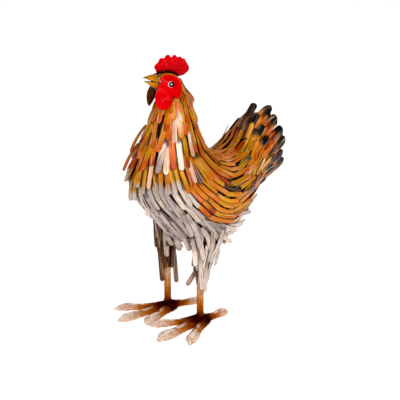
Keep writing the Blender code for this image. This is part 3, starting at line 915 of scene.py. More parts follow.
@dataclass
class Plumage:
    """The body's feathers: rows of strips down the flow lines, from the neck to the tail.

    An accent is one strip that catches the eye: its section, angle, root coat and tip coat.
    """

    form: BodyForm
    lines: FlowLines
    paint: Paint
    courses: int = 12
    course_step: float = 0.75
    row_steps: tuple[Pair, ...] = ((0.04, 0.030), (0.10, 0.040), (0.17, 0.042), (0.25, 0.037))
    first_row: float = 0.008
    most_rows: int = 30
    pitch: float = 0.0118
    stagger: float = 0.0125
    lengths: Pair = (0.074, 0.092)
    half_width: float = 0.0052
    tip_lift: float = 0.0050
    white_from: float = 3.52
    rise: float = 0.052
    paces: int = 14
    seed: int = 11
    # The chalk and blush coats among the accents are painted highlights: strips painted pale where glare
    # lies.
    accents: tuple[tuple[float, float, Coat, Coat], ...] = (
        (3.19, 110, CHALK, CHALK), (3.62, 98, CHALK, BLUSH), (2.67, 106, CHALK, BLUSH),
        (2.22, 96, CHALK, AMBER), (3.42, 122, BLUSH, CHALK), (3.26, 146, AMBER, BLUSH),
        (3.30, 154, CHALK, LILAC), (3.32, 160, BLUSH, BLUSH), (1.30, 91, ORANGE, BLUSH),
        (1.95, 126, AMBER, ORANGE), (4.21, 88, AMBER, SLATE), (6.63, 60, RUST, RUST),
        (5.67, 64, RUST, RUST), (7.67, 74, AMBER, UMBER), (6.30, 74, UMBER, CHARCOAL),
        (8.51, 63, BLUSH, AMBER), (8.76, 44, AMBER, AMBER), (9.52, 95, AMBER, BLUSH), (7.95, 22, RUST, RUST),
    )

    def _rows(self, rng: Rng) -> tuple[Array, Array]:
        """Sets out the tips in rows, each as far from the neck all round, and evenly spaced.

        Args:
            rng: the seeded source of chance.

        Returns:
            Each tip's distance along its line, and its angle.
        """
        step = 0.5
        angles = np.radians(np.arange(-180.0, 180.0, step))
        turn = np.degrees(np.abs(angles))
        limit = np.interp(turn, (0, 30, 60, 95, 120, 140, 180), (9.5, 9.9, 10.0, 9.9, 9.1, 8.7, 8.6))
        limit = limit - 0.6 * (angles < 0) * (1 - soft_step(turn, 60, 90))
        base = self.lines.distance(np.zeros(1), np.zeros(1))[0]
        far, distances, turns = base - self.first_row, [], []
        while len(distances) < self.most_rows:
            far += float(np.interp(far - base, *zip(*self.row_steps)))
            u = self.lines.section(np.full(angles.shape, far), angles)
            along, round_, _ = self.form.ways(u, angles)
            way = unit(along)
            wide = np.linalg.norm(round_ - (round_ * way).sum(-1, keepdims=True) * way, axis=-1)
            room = np.cumsum(wide * (u < limit) / self._narrow(u, turn)) * math.radians(step)
            count = int(round(room[-1] / self.pitch))
            if count < 3:
                break
            spots = (np.arange(count) + rng.uniform(0.0, 1.0)) * room[-1] / count
            spots = spots + rng.normal(0.0, 0.05, count) * self.pitch
            distances.append(far + rng.uniform(-self.stagger, self.stagger, count))
            turns.append(np.interp(spots % room[-1], room, angles))
        return np.concatenate(distances), np.concatenate(turns)

    def _narrow(self, u: Array, turn: Array) -> Array:
        """Gives how wide the strips are cut, as a share of the cape's, at u and degrees from the back."""
        return 1.0 - soft_step(u, 3.0, 4.2) * np.interp(turn, (100, 125), (0.24, 0.20))

    def _coats(self, rng: Rng, u: Array, v: Array, far: Array, length: Array) -> list[Array]:
        """Paints each strip by where its tip lies: ochre and orange above, white on the belly.

        A strip that crosses the line where the white begins turns white where it crosses.

        Args:
            rng: the seeded source of chance.
            u: the tips' sections.
            v: the tips' angles.
            far: the tips' distances along their flow lines.
            length: the strips' lengths.

        Returns:
            The root coats, tip coats, streaks and fades.
        """
        count, turn, none = len(u), np.degrees(np.abs(v)), np.zeros(len(u))
        root = Coat.pick(rng, count, {OCHRE: 5, AMBER: 4, ORANGE: 1.5})
        tip = Coat.pick(rng, count, {AMBER: 4, ORANGE: 4, OCHRE: 2, RUST: 1.2})
        flank = rng.random(count) < soft_step(u, 3.4, 4.6) * 0.7
        Coat.put(rng, root, flank, {AMBER: 5, OCHRE: 2})
        Coat.put(rng, tip, flank, {AMBER: 5, ORANGE: 4, RUST: 0.3})
        streak = np.tile(srgb(214, 150, 110), (count, 1))
        fade = np.stack([rng.uniform(0.55, 0.75, count), rng.uniform(0.8, 1.0, count), none], -1)
        fade[:, 2] = (rng.random(count) < 0.09) * rng.uniform(0.6, 1.0, count)
        Coat.put(rng, tip, rng.random(count) < 0.05 * (u > 1.6), {SLATE: 1.5, UMBER: 2, DUSK: 1})
        streak[(rng.random(count) < 0.5) & (u > 4.5)] = srgb(236, 190, 140)
        # Pale strips on the cheeks of the cape and a few more above: painted highlights of glare, partly pale
        # paint.
        cheek = soft_step(u, 1.7, 2.0) * (1 - soft_step(u, 3.6, 3.8)) * soft_step(turn, 92, 97)
        pale = rng.random(count) < 0.10 * cheek * (1 - soft_step(turn, 158, 166)) + 0.02 * (u < 3.6)
        Coat.put(rng, root, pale, {BLUSH: 3, CREAM: 2, AMBER: 1})
        Coat.put(rng, tip, pale, {CHALK: 3, BLUSH: 3, ORANGE: 0.6})
        streak[pale] = srgb(236, 190, 160)
        edge = turn + rng.normal(0.0, 2.0, count)
        over = far - self.lines.distance(np.full(count, self.white_from), v) + rng.normal(0.0, 0.003, count)
        belly = (edge > np.interp(u, (3.8, 5.0, 6.5), (108, 114, 118))) & (over > 0.003)
        Coat.put(rng, tip, belly, {BONE: 4, CREAM: 5})
        # Greyer and lilac tips under the belly: painted shade on the underside.
        Coat.put(rng, tip, belly & (turn > 128), {BONE: 5, LILAC: 4, CREAM: 2})
        Coat.put(rng, root, belly, {OCHRE: 5, AMBER: 2})
        streak[belly] = srgb(190, 168, 156)
        turned = np.clip(1 - over / length, -0.2, 1.0)
        fade[belly] = np.stack([turned - 0.05, turned + 0.11, none], -1)[belly]
        rump = (u > 9.3) & (rng.random(count) < 0.4)
        tip[rump] = CHARCOAL.value
        fade[rump, :2] = (0.76, 0.90)
        Coat.put(rng, tip, (u > 8.0) & ~rump & (rng.random(count) < 0.32), {BLUSH: 2, RUST: 2, UMBER: 2})
        light = rng.uniform(0.84, 1.08, (count, 1))
        for near_u, near_v, first, last in self.accents:
            best = np.argmin(((u - near_u) * 42) ** 2 + (np.degrees(v) - near_v) ** 2)
            root[best], tip[best], light[best], fade[best] = first.value, last.value, 1.0, (0.5, 0.9, 0.0)
        return [root * light, tip * light, streak, fade]

    def _walk(self, tip_u: Array, turn: Array, sway: Array, back: Array) -> tuple[Array, Array]:
        """Lays each strip straight back over the form from its tip, as a flat strip bends.

        The way back starts against the flow, turned by the sway. At every short step it is turned into
        the surface, which leaves it straight, and the step is shared between u and v by the
        products of the two ways along them.

        Args:
            tip_u: the tips' sections.
            turn: the tips' angles.
            sway: how far each is turned out of the flow, in radians.
            back: each station's distance from the tip.

        Returns:
            u and v of every station.
        """
        u, v, most = tip_u, turn, back.max(axis=1)
        fine = most / self.paces
        out = self.form.ways(u, v)[2]
        ahead = self.lines.section(self.lines.distance(u, v) - 0.5 * most, v)
        way = unit(self.form.point(ahead, v) - self.form.point(u, v))
        way = way * np.cos(sway)[:, None] + np.cross(out, way) * np.sin(sway)[:, None]
        path = [(u, v)]
        for _ in range(self.paces):
            along, round_, out = self.form.ways(u, v)
            way = flatten(way, out)
            a, b, c = (along**2).sum(-1), (round_**2).sum(-1), (along * round_).sum(-1)
            p, q = (way * along).sum(-1), (way * round_).sum(-1)
            low = a * b - c * c
            u = np.maximum(u + fine * (p * b - q * c) / low, -0.2)
            v = v + fine * (q * a - p * c) / low
            path.append((u, v))
        spot = np.clip(back / fine[:, None], 0, self.paces - 1e-6)
        i, pick = spot.astype(int), np.arange(len(u))[:, None]
        f = spot - i
        us, vs = map(np.array, zip(*path))
        return us[i, pick] * (1 - f) + us[i + 1, pick] * f, vs[i, pick] * (1 - f) + vs[i + 1, pick] * f

    def strips(self) -> tuple[Strips, Array]:
        """Cuts every strip of the body.

        A strip lies over the form by tip_lift at its tip, and rise less for each metre before it, so
        that every row clears the next. A few flare at the tip.

        Returns:
            The strips, and the section of each one's tip.
        """
        rng = np.random.default_rng(self.seed)
        tip_far, turn = self._rows(rng)
        count, degrees = len(tip_far), np.degrees(np.abs(turn))
        tips = self.lines.section(tip_far, turn)
        tip_u = tips[:, None]
        top = self.lines.distance(np.full(count, -0.12), turn)
        length = np.minimum(rng.uniform(*self.lengths, count), tip_far - top)
        half = self.half_width * rng.uniform(0.84, 1.06, count) * self._narrow(tips, degrees)
        half = half * (1 + 0.2 * soft_step(tips, 6.5, 8.5))
        along, wide = strip_stations(length, half, rng.uniform(0.8, 1.6, count))
        back = (1 - along) * length[:, None]
        sway = np.radians(rng.normal(0.0, 3.2, count))
        u, v = self._walk(tips, turn, sway, back)
        swept = (turn - sway * 0.5)[:, None] + (sway * 0.5)[:, None] * along
        flow = soft_step(tip_u, 3.6, 5.2) * (1 - soft_step(degrees, 104, 118)[:, None])
        flow = flow * (1 - 0.85 * soft_step(tip_u, 6.4, 8.2))
        u = u + (self.lines.section(tip_far[:, None] - back, swept) - u) * flow
        v = v + (swept - v) * flow
        out = self.form.ways(u, v)[2]
        cape = soft_step(tip_u, 2.2, 3.2) * (1 - soft_step(tip_u, 3.9, 4.3))
        flare = np.abs(rng.normal(0.0, 0.0012, count))[:, None]
        flare = flare + cape * rng.uniform(0.0, 0.004, count)[:, None]
        saddle = (1 - soft_step(np.degrees(np.abs(v)), 25, 50)) * soft_step(u, 1.5, 3.0)
        saddle = saddle * (1 - soft_step(u, 7.4, 8.8))
        neck = np.interp(tip_u, (0.0, 1.5, 3.0), (0.6, 0.75, 1.0)) * (1 - 0.5 * saddle)
        neck = neck * np.interp(u, (-0.2, 0.6), (0.35, 1.0))
        under = soft_step(degrees, 125, 150)[:, None] * soft_step(tip_u, 3.9, 4.3)
        neck = neck * (1 - 0.75 * under * (1 - soft_step(tip_u, 5.5, 6.2)))
        lift = self.tip_lift * neck - self.rise * back * neck + flare * along**3
        lift = np.maximum(lift + rng.uniform(-0.0005, 0.0005, count)[:, None], 0.0006)
        lift = lift + 0.0042 * soft_step(u, 8.3, 9.2)
        centre = self.form.point(u, v) + out * lift[..., None]
        out = twisted(out, centre, np.radians(rng.normal(0.0, 7.0, count))[:, None, None])
        painted = self._coats(rng, tips, turn, tip_far, length)
        crown, seeds = rng.uniform(0.0004, 0.0009, count), rng.random(count)
        shade = rng.uniform(0.75, 1.0, count) * soft_step(tip_far - top, 0.070, 0.095)
        shade = shade * (1 - 0.25 * soft_step(tips, 3.8, 5.0)) * (1 - 0.6 * soft_step(tips, 7.6, 9.0))
        return Strips(centre, out, half[:, None] * wide, along, crown, seeds, coats(*painted, shade)), tips

    def build(self, slots: dict[str, str]) -> None:
        """Makes one piece for each course of the solids.

        Args:
            slots: the record's finish of each node.
        """
        strips, tips = self.strips()
        course = np.clip(np.round(tips / self.course_step - 2.0), 0, self.courses - 1).astype(int)
        for k in range(self.courses):
            node = f"feather_course_{k + 1:02d}"
            strips.take(course == k).build(f"feather_row_{k + 1:02d}", self.paint, slots[node], [node])


@dataclass(frozen=True)
class Fan:
    """Tail feathers from the top down: sections of tips and roots, angles on each side, half widths.

    Their faces lean to the side and they curl down towards the tip, both in degrees.
    """

    tips: Row
    turns: dict[str, Row]
    half_widths: Row
    root: float
    lift: float
    thickness: float = 0.0010
    leans: Row = (0.0,)
    curls: Row = (0.0,)


LONG_FEATHERS = Fan(
    tips=(10.60, 10.97, 10.99, 10.99, 10.90, 10.64, 10.78),
    turns={
        "left": (2.0, 33.0, 52.5, 73.0, 89.0, 105.0, 120.0),
        "right": (-0.6, 62.0, 75.0, 87.0, 98.0, 108.0, 120.0),
    },
    half_widths=(0.0054, 0.0096, 0.0110, 0.0112, 0.0108, 0.0098, 0.0092),
    root=8.45,
    lift=0.0012,
    thickness=0.0013,
    leans=(50.0, 18.0, 6.0, 0.0, 0.0, -4.0, -8.0),
    curls=(0.0, 11.0, 6.5, 4.0, 1.0, 0.0, 0.0),
)
COVERTS = Fan(
    tips=(10.2, 10.05, 9.95, 10.1, 9.95, 10.1, 9.7),
    turns={
        "left": (21.0, 44.0, 63.0, 82.0, 98.0, 113.0, 124.0),
        "right": (46.0, 60.0, 74.0, 88.0, 101.0, 113.0, 124.0),
    },
    half_widths=(0.0076,),
    root=8.2,
    lift=0.0040,
)


@dataclass
class TailFan:
    """The long tail feathers, wide crowned strips with black rounded tips, and the coverts between."""

    form: BodyForm
    lines: FlowLines
    paint: Paint
    black: float = 0.026
    across: Row = (-1.0, -0.75, -0.35, 0.0, 0.35, 0.75, 1.0)
    seed: int = 23

    def _lay(self, rng: Rng, fan: Fan, word: str) -> Strips:
        """Lays feathers down the flow lines.

        Args:
            rng: the seeded source of chance.
            fan: the feathers.
            word: which side they are on.

        Returns:
            The feathers.
        """
        v = SIDES[word] * np.radians(fan.turns[word])
        side, count = np.sign(v), len(v)
        curls = np.radians(side * np.array(fan.curls))
        tip_far = self.lines.distance(np.array(fan.tips), v + curls * 0.7)
        length = tip_far - self.lines.distance(np.full(count, fan.root), v)
        half = np.array(fan.half_widths) * rng.uniform(0.96, 1.04, count)
        along, wide = strip_stations(length, half, np.full(count, 1.0), body=12)
        wide = wide * np.interp(along, (0.0, 0.5, 0.85, 1.0), (0.95, 1.06, 1.0, 0.94))
        back = (1 - along) * length[:, None]
        angle = v[:, None] + np.radians(rng.normal(0.0, 1.2, count))[:, None] * along
        angle = angle + curls[:, None] * (along**4 - 0.3)
        u = self.lines.section(tip_far[:, None] - back, angle)
        out = self.form.ways(u, angle)[2]
        rise = fan.lift + 0.0008 * soft_step(u, 8.6, 9.4)
        rise = rise + rng.uniform(-0.0004, 0.0004, count)[:, None] * along
        centre = self.form.point(u, angle) + out * rise[..., None]
        lean = np.radians(rng.normal(0.0, 3.0, count) - side * np.array(fan.leans))[:, None, None]
        out = twisted(out, centre, lean * np.sqrt(along)[..., None])
        root = Coat.pick(rng, count, {OCHRE: 4, AMBER: 4, ORANGE: 1.5})
        end = np.tile(CHARCOAL.value, (count, 1))
        top = np.degrees(np.abs(v)) < 25
        Coat.put(rng, root, top, {UMBER: 1, DUSK: 1})
        end[top] = srgb(58, 38, 30)
        black = self.black / length
        fade = (1 - black * 1.25, 1 - black * rng.uniform(0.6, 0.85, count), np.full(count, 0.75))
        marks = coats(root, end, srgb(206, 150, 96), np.stack(fade, -1), np.full(count, 0.1))
        crown, seeds = rng.uniform(0.0018, 0.0026, count), rng.random(count)
        half = half[:, None] * wide
        return Strips(centre, out, half, along, crown, seeds, marks, fan.thickness, self.across)

    def build(self, slots: dict[str, str]) -> None:
        """Makes each long feather, and one piece of coverts on each side.

        Args:
            slots: the record's finish of each node.
        """
        rng = np.random.default_rng(self.seed)
        for word in SIDES:
            feathers = self._lay(rng, LONG_FEATHERS, word)
            for i in range(len(feathers.half)):
                node = f"tail_feather_{word}_{i + 1}"
                feathers.take([i]).build(f"tail_sickle_{word}_{i + 1}", self.paint, slots[node], [node])
            coverts = self._lay(rng, COVERTS, word)
            coverts.build(f"tail_coverts_{word}", self.paint, slots["tail_feather_left_1"])


@dataclass
class Rump:
    """The fluff that closes the body under the tail: hanging strips over its rounded end."""

    form: BodyForm
    paint: Paint
    section: float = 9.0
    rows: int = 11
    pitch: float = 0.0105
    bulge: float = 0.015
    drop: float = 0.0165
    hang: float = 1.42
    forwards: float = 0.85
    seed: int = 41

    def build(self, slots: dict[str, str]) -> None:
        """Makes the fluff.

        The end is a disc whose middle bulges back by 1 minus the squared share of the way to its rim,
        and each row of strips hangs over the next.

        Args:
            slots: the record's finish of each node.
        """
        rng = np.random.default_rng(self.seed)
        rim = self.form.point(np.full(2, self.section), np.array((0.0, math.pi)))
        _, middle_y, middle_z = rim.mean(0)
        semi_z, semi_x = (rim[0, 2] - rim[1, 2]) / 2, self.form.point(self.section, math.pi / 2)[0]
        batches = []
        for k in range(self.rows):
            tip = middle_z + semi_z * 0.72 - k * self.drop
            depth = semi_z if tip > middle_z else semi_z * self.hang
            reach = semi_x * math.sqrt(max(1 - ((tip + 0.026 - middle_z) / depth) ** 2, 0.05))
            count = max(int(2 * reach / self.pitch), 2)
            x = np.linspace(-reach, reach, count) * 0.94 + rng.normal(0, 0.0008, count)
            chord = semi_z * np.sqrt(np.maximum(1 - (x / semi_x) ** 2, 0.02)) * 0.96
            low = np.maximum(tip + rng.normal(0, 0.003, count), middle_z - chord * self.hang)
            length = np.clip(middle_z + chord - low, 0.016, rng.uniform(0.046, 0.056, count))
            half = rng.uniform(0.0044, 0.0052, count)
            along, wide = strip_stations(length, half, rng.uniform(0.9, 1.5, count))
            z = low[:, None] + (1 - along) * length[:, None]
            sway = np.tan(rng.normal(0, 0.06, count))[:, None] * 0.03
            spread = x[:, None] * (1 + 0.15 * along) + sway * along
            share = (spread / semi_x) ** 2 + ((z - middle_z) / semi_z) ** 2
            y = middle_y + self.bulge * (1 - np.minimum(share, 1.25)) + 0.0012 + 0.0050 * along**1.5
            y = y - self.forwards * np.maximum(middle_z - chord[:, None] - z, 0.0)
            line = np.stack([spread, y, z], -1)
            out = np.stack([spread / semi_x * 0.5, np.ones_like(z), (z - middle_z) / semi_z * 0.4 - 0.1], -1)
            mix = {BONE: 3, CREAM: 3} if k > 3 else {AMBER: 3, RUST: 1, UMBER: 1, OCHRE: 3}
            coat, crown = Coat.pick(rng, count, mix), rng.uniform(0.0004, 0.0009, count)
            marks = coats(coat, coat, BONE.value, PLAIN_FADE, rng.uniform(0.5, 0.8, count) * (k > 0))
            batches.append(Strips(line, out, half[:, None] * wide, along, crown, rng.random(count), marks))
        batches[0].join(*batches[1:]).build("rump_fluff", self.paint, slots["feather_course_12"])


@dataclass
class LooseStrips:
    """Single strips that the maker bent out of line, set one by one as they hang on the real bird.

    Each is its place across, its root's y and z, its tip's y and z, the way that it faces, and its coats.
    """

    form: BodyForm
    paint: Paint
    sink: float = 0.005
    copper_width: float = 1.25
    seed: int = 53
    copper: tuple[tuple[Any, ...], ...] = (
        (-30, -62, 356, -91, 313, -0.2, -0.9, 0.3, AMBER, ORANGE),
        (-18, -56, 350, -90, 304, 0.1, -0.9, 0.3, UMBER, ORANGE),
        (-30, -79, 327, -107, 283, -0.2, -0.9, 0.3, AMBER, ORANGE),
        (-14, -75, 325, -106, 290, 0.1, -0.9, 0.3, UMBER, RUST),
        (-8, -60, 347, -92, 306, 0.3, -0.9, 0.3, OCHRE, ORANGE),
        (4, -9, 424, 22.5, 387, 0.9, 0.1, 0.35, OCHRE, ORANGE),
        (9, -6, 422, 13, 378, 0.9, 0.0, 0.35, AMBER, ORANGE),
        (12, 0, 398, 22, 352, 0.9, 0.0, 0.3, OCHRE, AMBER),
    )
    cream: tuple[tuple[Any, ...], ...] = (
        (0, -107, 268, -108, 238, 0.5, -0.8, 0.0, OCHRE, BONE),
        (-14, -102, 268, -105, 234, 0.5, -0.8, 0.0, OCHRE, BONE),
        (0, -97, 250, -87, 223, 0.5, -0.8, -0.2, BONE, BONE),
        (0, -86, 238, -78, 203, 0.5, -0.8, -0.2, BONE, CREAM),
        (66, -47, 216, -22, 170, 0.9, -0.4, 0.1, CREAM, BONE),
        (62, -53, 215, -33, 173, 0.9, -0.4, 0.1, BONE, BONE),
        (63, -23, 189, -9, 124, 0.9, -0.4, 0.0, BONE, CREAM),
        (63, -30, 198, -16, 145, 0.9, -0.4, 0.0, CREAM, BONE),
        (67, -15, 184, 14, 141, 0.9, -0.3, 0.0, CREAM, CREAM),
        (66, -6, 179, 5, 140, 0.9, -0.3, 0.0, BONE, CREAM),
        (68, 3, 182, 53, 143, 0.9, -0.1, -0.1, CREAM, CREAM),
        (70, -12, 199, 27, 148, 0.9, -0.2, 0.0, CREAM, CREAM),
        (66, 9, 189, 67, 161, 0.9, -0.1, -0.1, BONE, CREAM),
        (60, 34, 165, 93, 173, 0.85, -0.1, -0.3, CREAM, CREAM),
        (64, 44, 194, 103, 187, 0.9, 0.1, -0.2, CREAM, BONE),
        (60, 20, 161, 67, 157, 0.85, -0.1, -0.3, BONE, CREAM),
        (60, 25, 173, 87, 167, 0.85, -0.1, -0.2, CREAM, CREAM),
        (69, -2, 193, 42, 156, 0.9, -0.2, 0.0, BONE, BONE),
        (40, 76, 168, 114, 181, 0.85, -0.1, -0.3, CREAM, BONE),
        (60, -15, 151, -10, 69, 0.9, -0.3, 0.0, CREAM, CREAM),
        (60, 1, 140, -3, 62, 0.9, -0.1, 0.0, BONE, CREAM),
        (58, 17, 137, 3, 79, 0.9, 0.1, 0.0, CREAM, BONE),
        (57, 38, 141, 23, 104, 0.9, 0.2, 0.0, BONE, CREAM),
        (57, -27, 164, -22, 115, 0.8, -0.5, 0.0, CREAM, CHALK),
        (60, 40, 150, 46, 140, 0.9, 0.1, 0.0, BONE, CREAM),
        (30, 120, 179, 152, 202, 0.8, 0.0, -0.4, CREAM, BONE),
        (47, -12, 101, -33.5, 79.5, 0.72, -0.62, 0.2, TAUPE, TAUPE),
        (0, -22, 156, -8, 124, 0.6, -0.7, 0.0, BONE, BONE),
        (20, -19, 158, 1, 129, 0.7, -0.7, 0.0, BONE, BONE),
        (10, -32, 164, -12, 133, 0.7, -0.7, 0.0, BONE, CREAM),
        (26, -26, 167, -6, 132, 0.8, -0.6, 0.0, CREAM, BONE),
        (-8, -38, 166, -18, 134, 0.5, -0.8, 0.0, BONE, BONE),
        (32, -32, 176, -14, 134, 0.8, -0.6, 0.0, CREAM, CREAM),
        (36, -16, 164, 4, 126, 0.8, -0.6, 0.0, BONE, CREAM),
        (-38, 1, 136, -3, 92, 0.8, -0.6, 0.0, BONE, BONE),
        (-60, -15, 162, -11, 114, 0.6, -0.6, 0.0, UMBER, UMBER),
        (-44, -19, 138, -12, 54, 0.7, -0.5, 0.0, BARK, BARK),
        (-40, 10, 130, 18, 45, 0.7, -0.5, 0.0, BARK, TAUPE),
    )

    def _cut(self, rows: Sequence[tuple[Any, ...]], width: float = 1.0, side: float = 1.0) -> Strips:
        """Cuts strips from their list.

        The root end sinks into the body by the square of the share that is left to the tip.

        Args:
            rows: the list.
            width: how wide they are, as a share of the usual width.
            side: -1 to mirror them.

        Returns:
            The strips.
        """
        rng, count = np.random.default_rng(self.seed), len(rows)
        x, root_y, root_z, tip_y, tip_z, *way = np.array([row[:8] for row in rows], float).T
        facing = unit(np.stack([side * way[0], *way[1:]], -1))
        root, tip = self.form.metres(side * x, root_y, root_z), self.form.metres(side * x, tip_y, tip_z)
        half = rng.uniform(0.0037, 0.0045, count) * width
        along, wide = strip_stations(np.linalg.norm(tip - root, axis=1), half, rng.uniform(0.9, 1.5, count))
        bow = 0.0016 * np.sin(math.pi * along) - self.sink * (1 - along) ** 2
        line = root[:, None] + (tip - root)[:, None] * along[..., None] + facing[:, None] * bow[..., None]
        out = np.broadcast_to(flatten(facing, unit(tip - root))[:, None], line.shape)
        first, last = (np.array([row[k].value for row in rows]) for k in (8, 9))
        marks = coats(first, last, BONE.value, (0.35, 0.7, 0.0), np.full(count, 0.3))
        crown = rng.uniform(0.0005, 0.0010, count)
        return Strips(line, out, half[:, None] * wide, along, crown, rng.random(count), marks)

    def build(self) -> None:
        """Makes the copper strips, and the cream ones, whose rump strips hang on the right side too."""
        self._cut(self.copper, self.copper_width).build("loose_copper_strips", self.paint, "copper_feathers")
        rump = [row for row in self.cream if row[0] > 59 and row[3] > 20]
        both = self._cut(self.cream).join(self._cut(rump, side=-1.0))
        both.build("loose_cream_strips", self.paint, "cream_feathers")


@dataclass
class Head:
    """The head: skull, open beak, comb, face plates with wattles, and eyes."""

    form: BodyForm
    red: Paint
    ochre: Paint
    enamel: Paint
    bead: Paint
    skull_centre: Pair = (-31.0, 426.3)
    skull_semi: Triple = (18.6, 30.4, 17.3)
    skull_tilt: float = math.radians(17.0)
    beak_base: float = -56.0
    neck_back: Pair = (-3.0, 430.0)
    neck_front: Pair = (-42.0, 404.0)
    comb_sheet: float = 0.0034
    comb_sink: float = 0.0015
    comb_middle: Pair = (-22.0, 457.0)
    plate_sheet: float = 0.0016
    plate_bulge: float = 0.0010
    plate_middle: Pair = (-46.0, 418.0)
    blow_pitch: float = 0.0036
    weld_ring: Triple = (9.4, 11.2, 432.4)
    eye_lean: float = 0.22
    eye_forwards: float = 0.0022

    upper_beak: tuple[Row, ...] = (
        (-56.0, 432.4, 445.2, 9.5), (-63.0, 434.4, 446.2, 8.0), (-71.0, 437.7, 445.8, 5.5),
        (-78.0, 441.1, 445.0, 3.1), (-84.0, 442.4, 444.0, 1.0),
    )
    lower_beak: tuple[Row, ...] = (
        (-56.0, 431.8, 420.8, 8.6), (-63.0, 433.4, 423.6, 7.2), (-71.0, 435.0, 428.8, 5.4),
        (-77.0, 436.3, 433.0, 3.3), (-83.0, 438.1, 436.9, 1.0),
    )
    comb_outline: tuple[Pair, ...] = (
        (-55.5, 448.4), (-58.5, 454), (-61, 459), (-58.4, 463), (-53, 466), (-49.6, 471), (-44.4, 472.2),
        (-40.2, 471), (-35.6, 475.2), (-29.8, 475.6), (-26, 471.4), (-23, 471), (-19.4, 473.8), (-15, 473.2),
        (-11.4, 469), (-7.4, 469.6), (-3, 468.4), (0, 465.4), (4, 465), (7.5, 459.5), (11.6, 454),
        (14.2, 448.6), (13.4, 444.4), (10.2, 441.8), (5.6, 439.2), (0.4, 437.6), (-6, 436.9), (-11, 437),
        (-16, 438.6), (-25, 442.4), (-35, 445.2), (-45, 446.6), (-52, 447),
    )
    face_outline: tuple[Pair, ...] = (
        (-54.5, 442.2), (-47, 444.8), (-38, 443.8), (-28, 440), (-23, 433.5), (-20.8, 425), (-24, 415),
        (-30, 408.4), (-36.6, 406.4), (-41, 411.4), (-43.4, 406.5), (-46, 398.7), (-51.5, 391.8),
        (-58.2, 389), (-64, 391), (-68.4, 398), (-70, 408), (-68, 416.5), (-63.2, 424), (-59.2, 433),
        (-57.2, 438.5),
    )
    comb_weld_line: tuple[Pair, ...] = ((-50.5, 446.6), (-49.5, 449), (-47, 449.4), (-43, 447), (-37, 445.6))
    eye_profile: tuple[Pair, ...] = (
        (1.02, -0.9), (1.0, 0.5), (0.97, 0.8), (0.93, 0.8), (0.90, 0.6), (0.86, 1.0), (0.74, 1.6),
        (0.54, 2.1), (0.34, 2.4), (0.16, 2.6), (0.05, 2.65),
    )

    def _disc(self, corners: Sequence[Pair], count: int, middle: Pair) -> tuple[Array, Array]:
        """Fills a rounded outline with rings round its middle, closer together towards the rim.

        Args:
            corners: the outline's corners.
            count: how many points a ring has.
            middle: where the rings close.

        Returns:
            The spots, as rings by points round them, and each ring's share of the way out.
        """
        outline, centre = self.form.flat(ring_rows(corners, count)), self.form.flat(np.array(middle))
        shares = np.sin(np.linspace(0.03, 1.0, 26) * math.pi / 2)[:, None]
        return centre + (outline - centre) * shares[..., None], shares

    def comb(self) -> None:
        """Makes the comb: a scalloped plate with a rounded edge and hammered faces."""
        spots, shares = self._disc(self.comb_outline, 186, self.comb_middle)
        half = self.comb_sheet / 2 * np.sqrt(1 - (0.94 * shares**6) ** 2)
        y, z = (spots[..., 0] - self.form.leg_y) / self.form.share, spots[..., 1] / self.form.share
        # Painted shade on the comb: dark towards its foot on the head, most at the front, a little over its
        # lower half.
        low = np.interp(y, (-56, -35, -25, -15, -5), (448.5, 446.6, 444.4, 440.5, 434.0))
        reach = np.interp(y, (-60, -50, -30, -12, 2), (6.0, 8.0, 10.0, 7.0, 3.0))
        away = np.clip((low + reach - z) / reach, 0, 1) * np.interp(y, (-14, 0, 10), (1.0, 0.45, 0.1))
        foot = soft_step(away, 0.05, 0.85) * 0.7 + 0.3 * (1 - soft_step(z, 446.0, 465.0))
        skins = []
        for sign, seed in ((1.0, 3), (-1.0, 4)):
            relief = (dents(spots, self.blow_pitch, seed) - 0.4) * 0.0008 * (1 - shares**8)
            x = sign * (half + relief * 0.8)
            skins.append(np.dstack([x, spots[..., 0], spots[..., 1] - self.comb_sink]))
        rings, foot = np.concatenate([skins[0], skins[1][::-1]]), np.concatenate([foot, foot[::-1]])
        marks = {"foot": foot, "face": np.ones(foot.shape)}
        closed_piece("comb_plate", rings, marks, self.red, "red_paint", ["comb"])

    def _bent(self, node: str, side: float) -> Callable[[Array], Array]:
        """Fits a smooth sheet to the outer corners of a face plate's solid.

        It is the thin-plate spline through them: a plane plus a sum of r^2 log r.

        Args:
            node: the solid's name.
            side: 1 for the left and -1 for the right.

        Returns:
            A function that gives how far out the sheet is at (y, z).
        """
        mesh = bpy.data.objects[node].data
        corners = np.empty(len(mesh.vertices) * 3, np.float32)
        mesh.vertices.foreach_get("co", corners)
        corners = corners.reshape(-1, 3).astype(float) * (side, 1.0, 1.0)
        corners = corners[np.argsort(-corners[:, 0])]
        corners = corners[np.unique(np.round(corners[:, 1:], 4), axis=0, return_index=True)[1]]
        base, size = corners[:, 1:], len(corners)

        def bend(spots: Array) -> Array:
            """Gives r^2 log r from each spot to each corner."""
            gap = np.linalg.norm(spots[:, None] - base[None], axis=-1) / 0.01
            return gap**2 * np.log(np.maximum(gap, 1e-9))

        plane = np.hstack([np.ones((size, 1)), base])
        system = np.block([[bend(base) + np.eye(size) * 0.02, plane], [plane.T, np.zeros((3, 3))]])
        weights = np.linalg.solve(system, np.concatenate([corners[:, 0], np.zeros(3)]))

        def sheet(spots: Array) -> Array:
            """Gives how far out the sheet is.

            Args:
                spots: (y, z) in metres.

            Returns:
                How far out it is at each.
            """
            flat = spots.reshape(-1, 2)
            found = bend(flat) @ weights[:size] + weights[size] + flat @ weights[size + 1 :]
            return found.reshape(spots.shape[:-1])

        return sheet

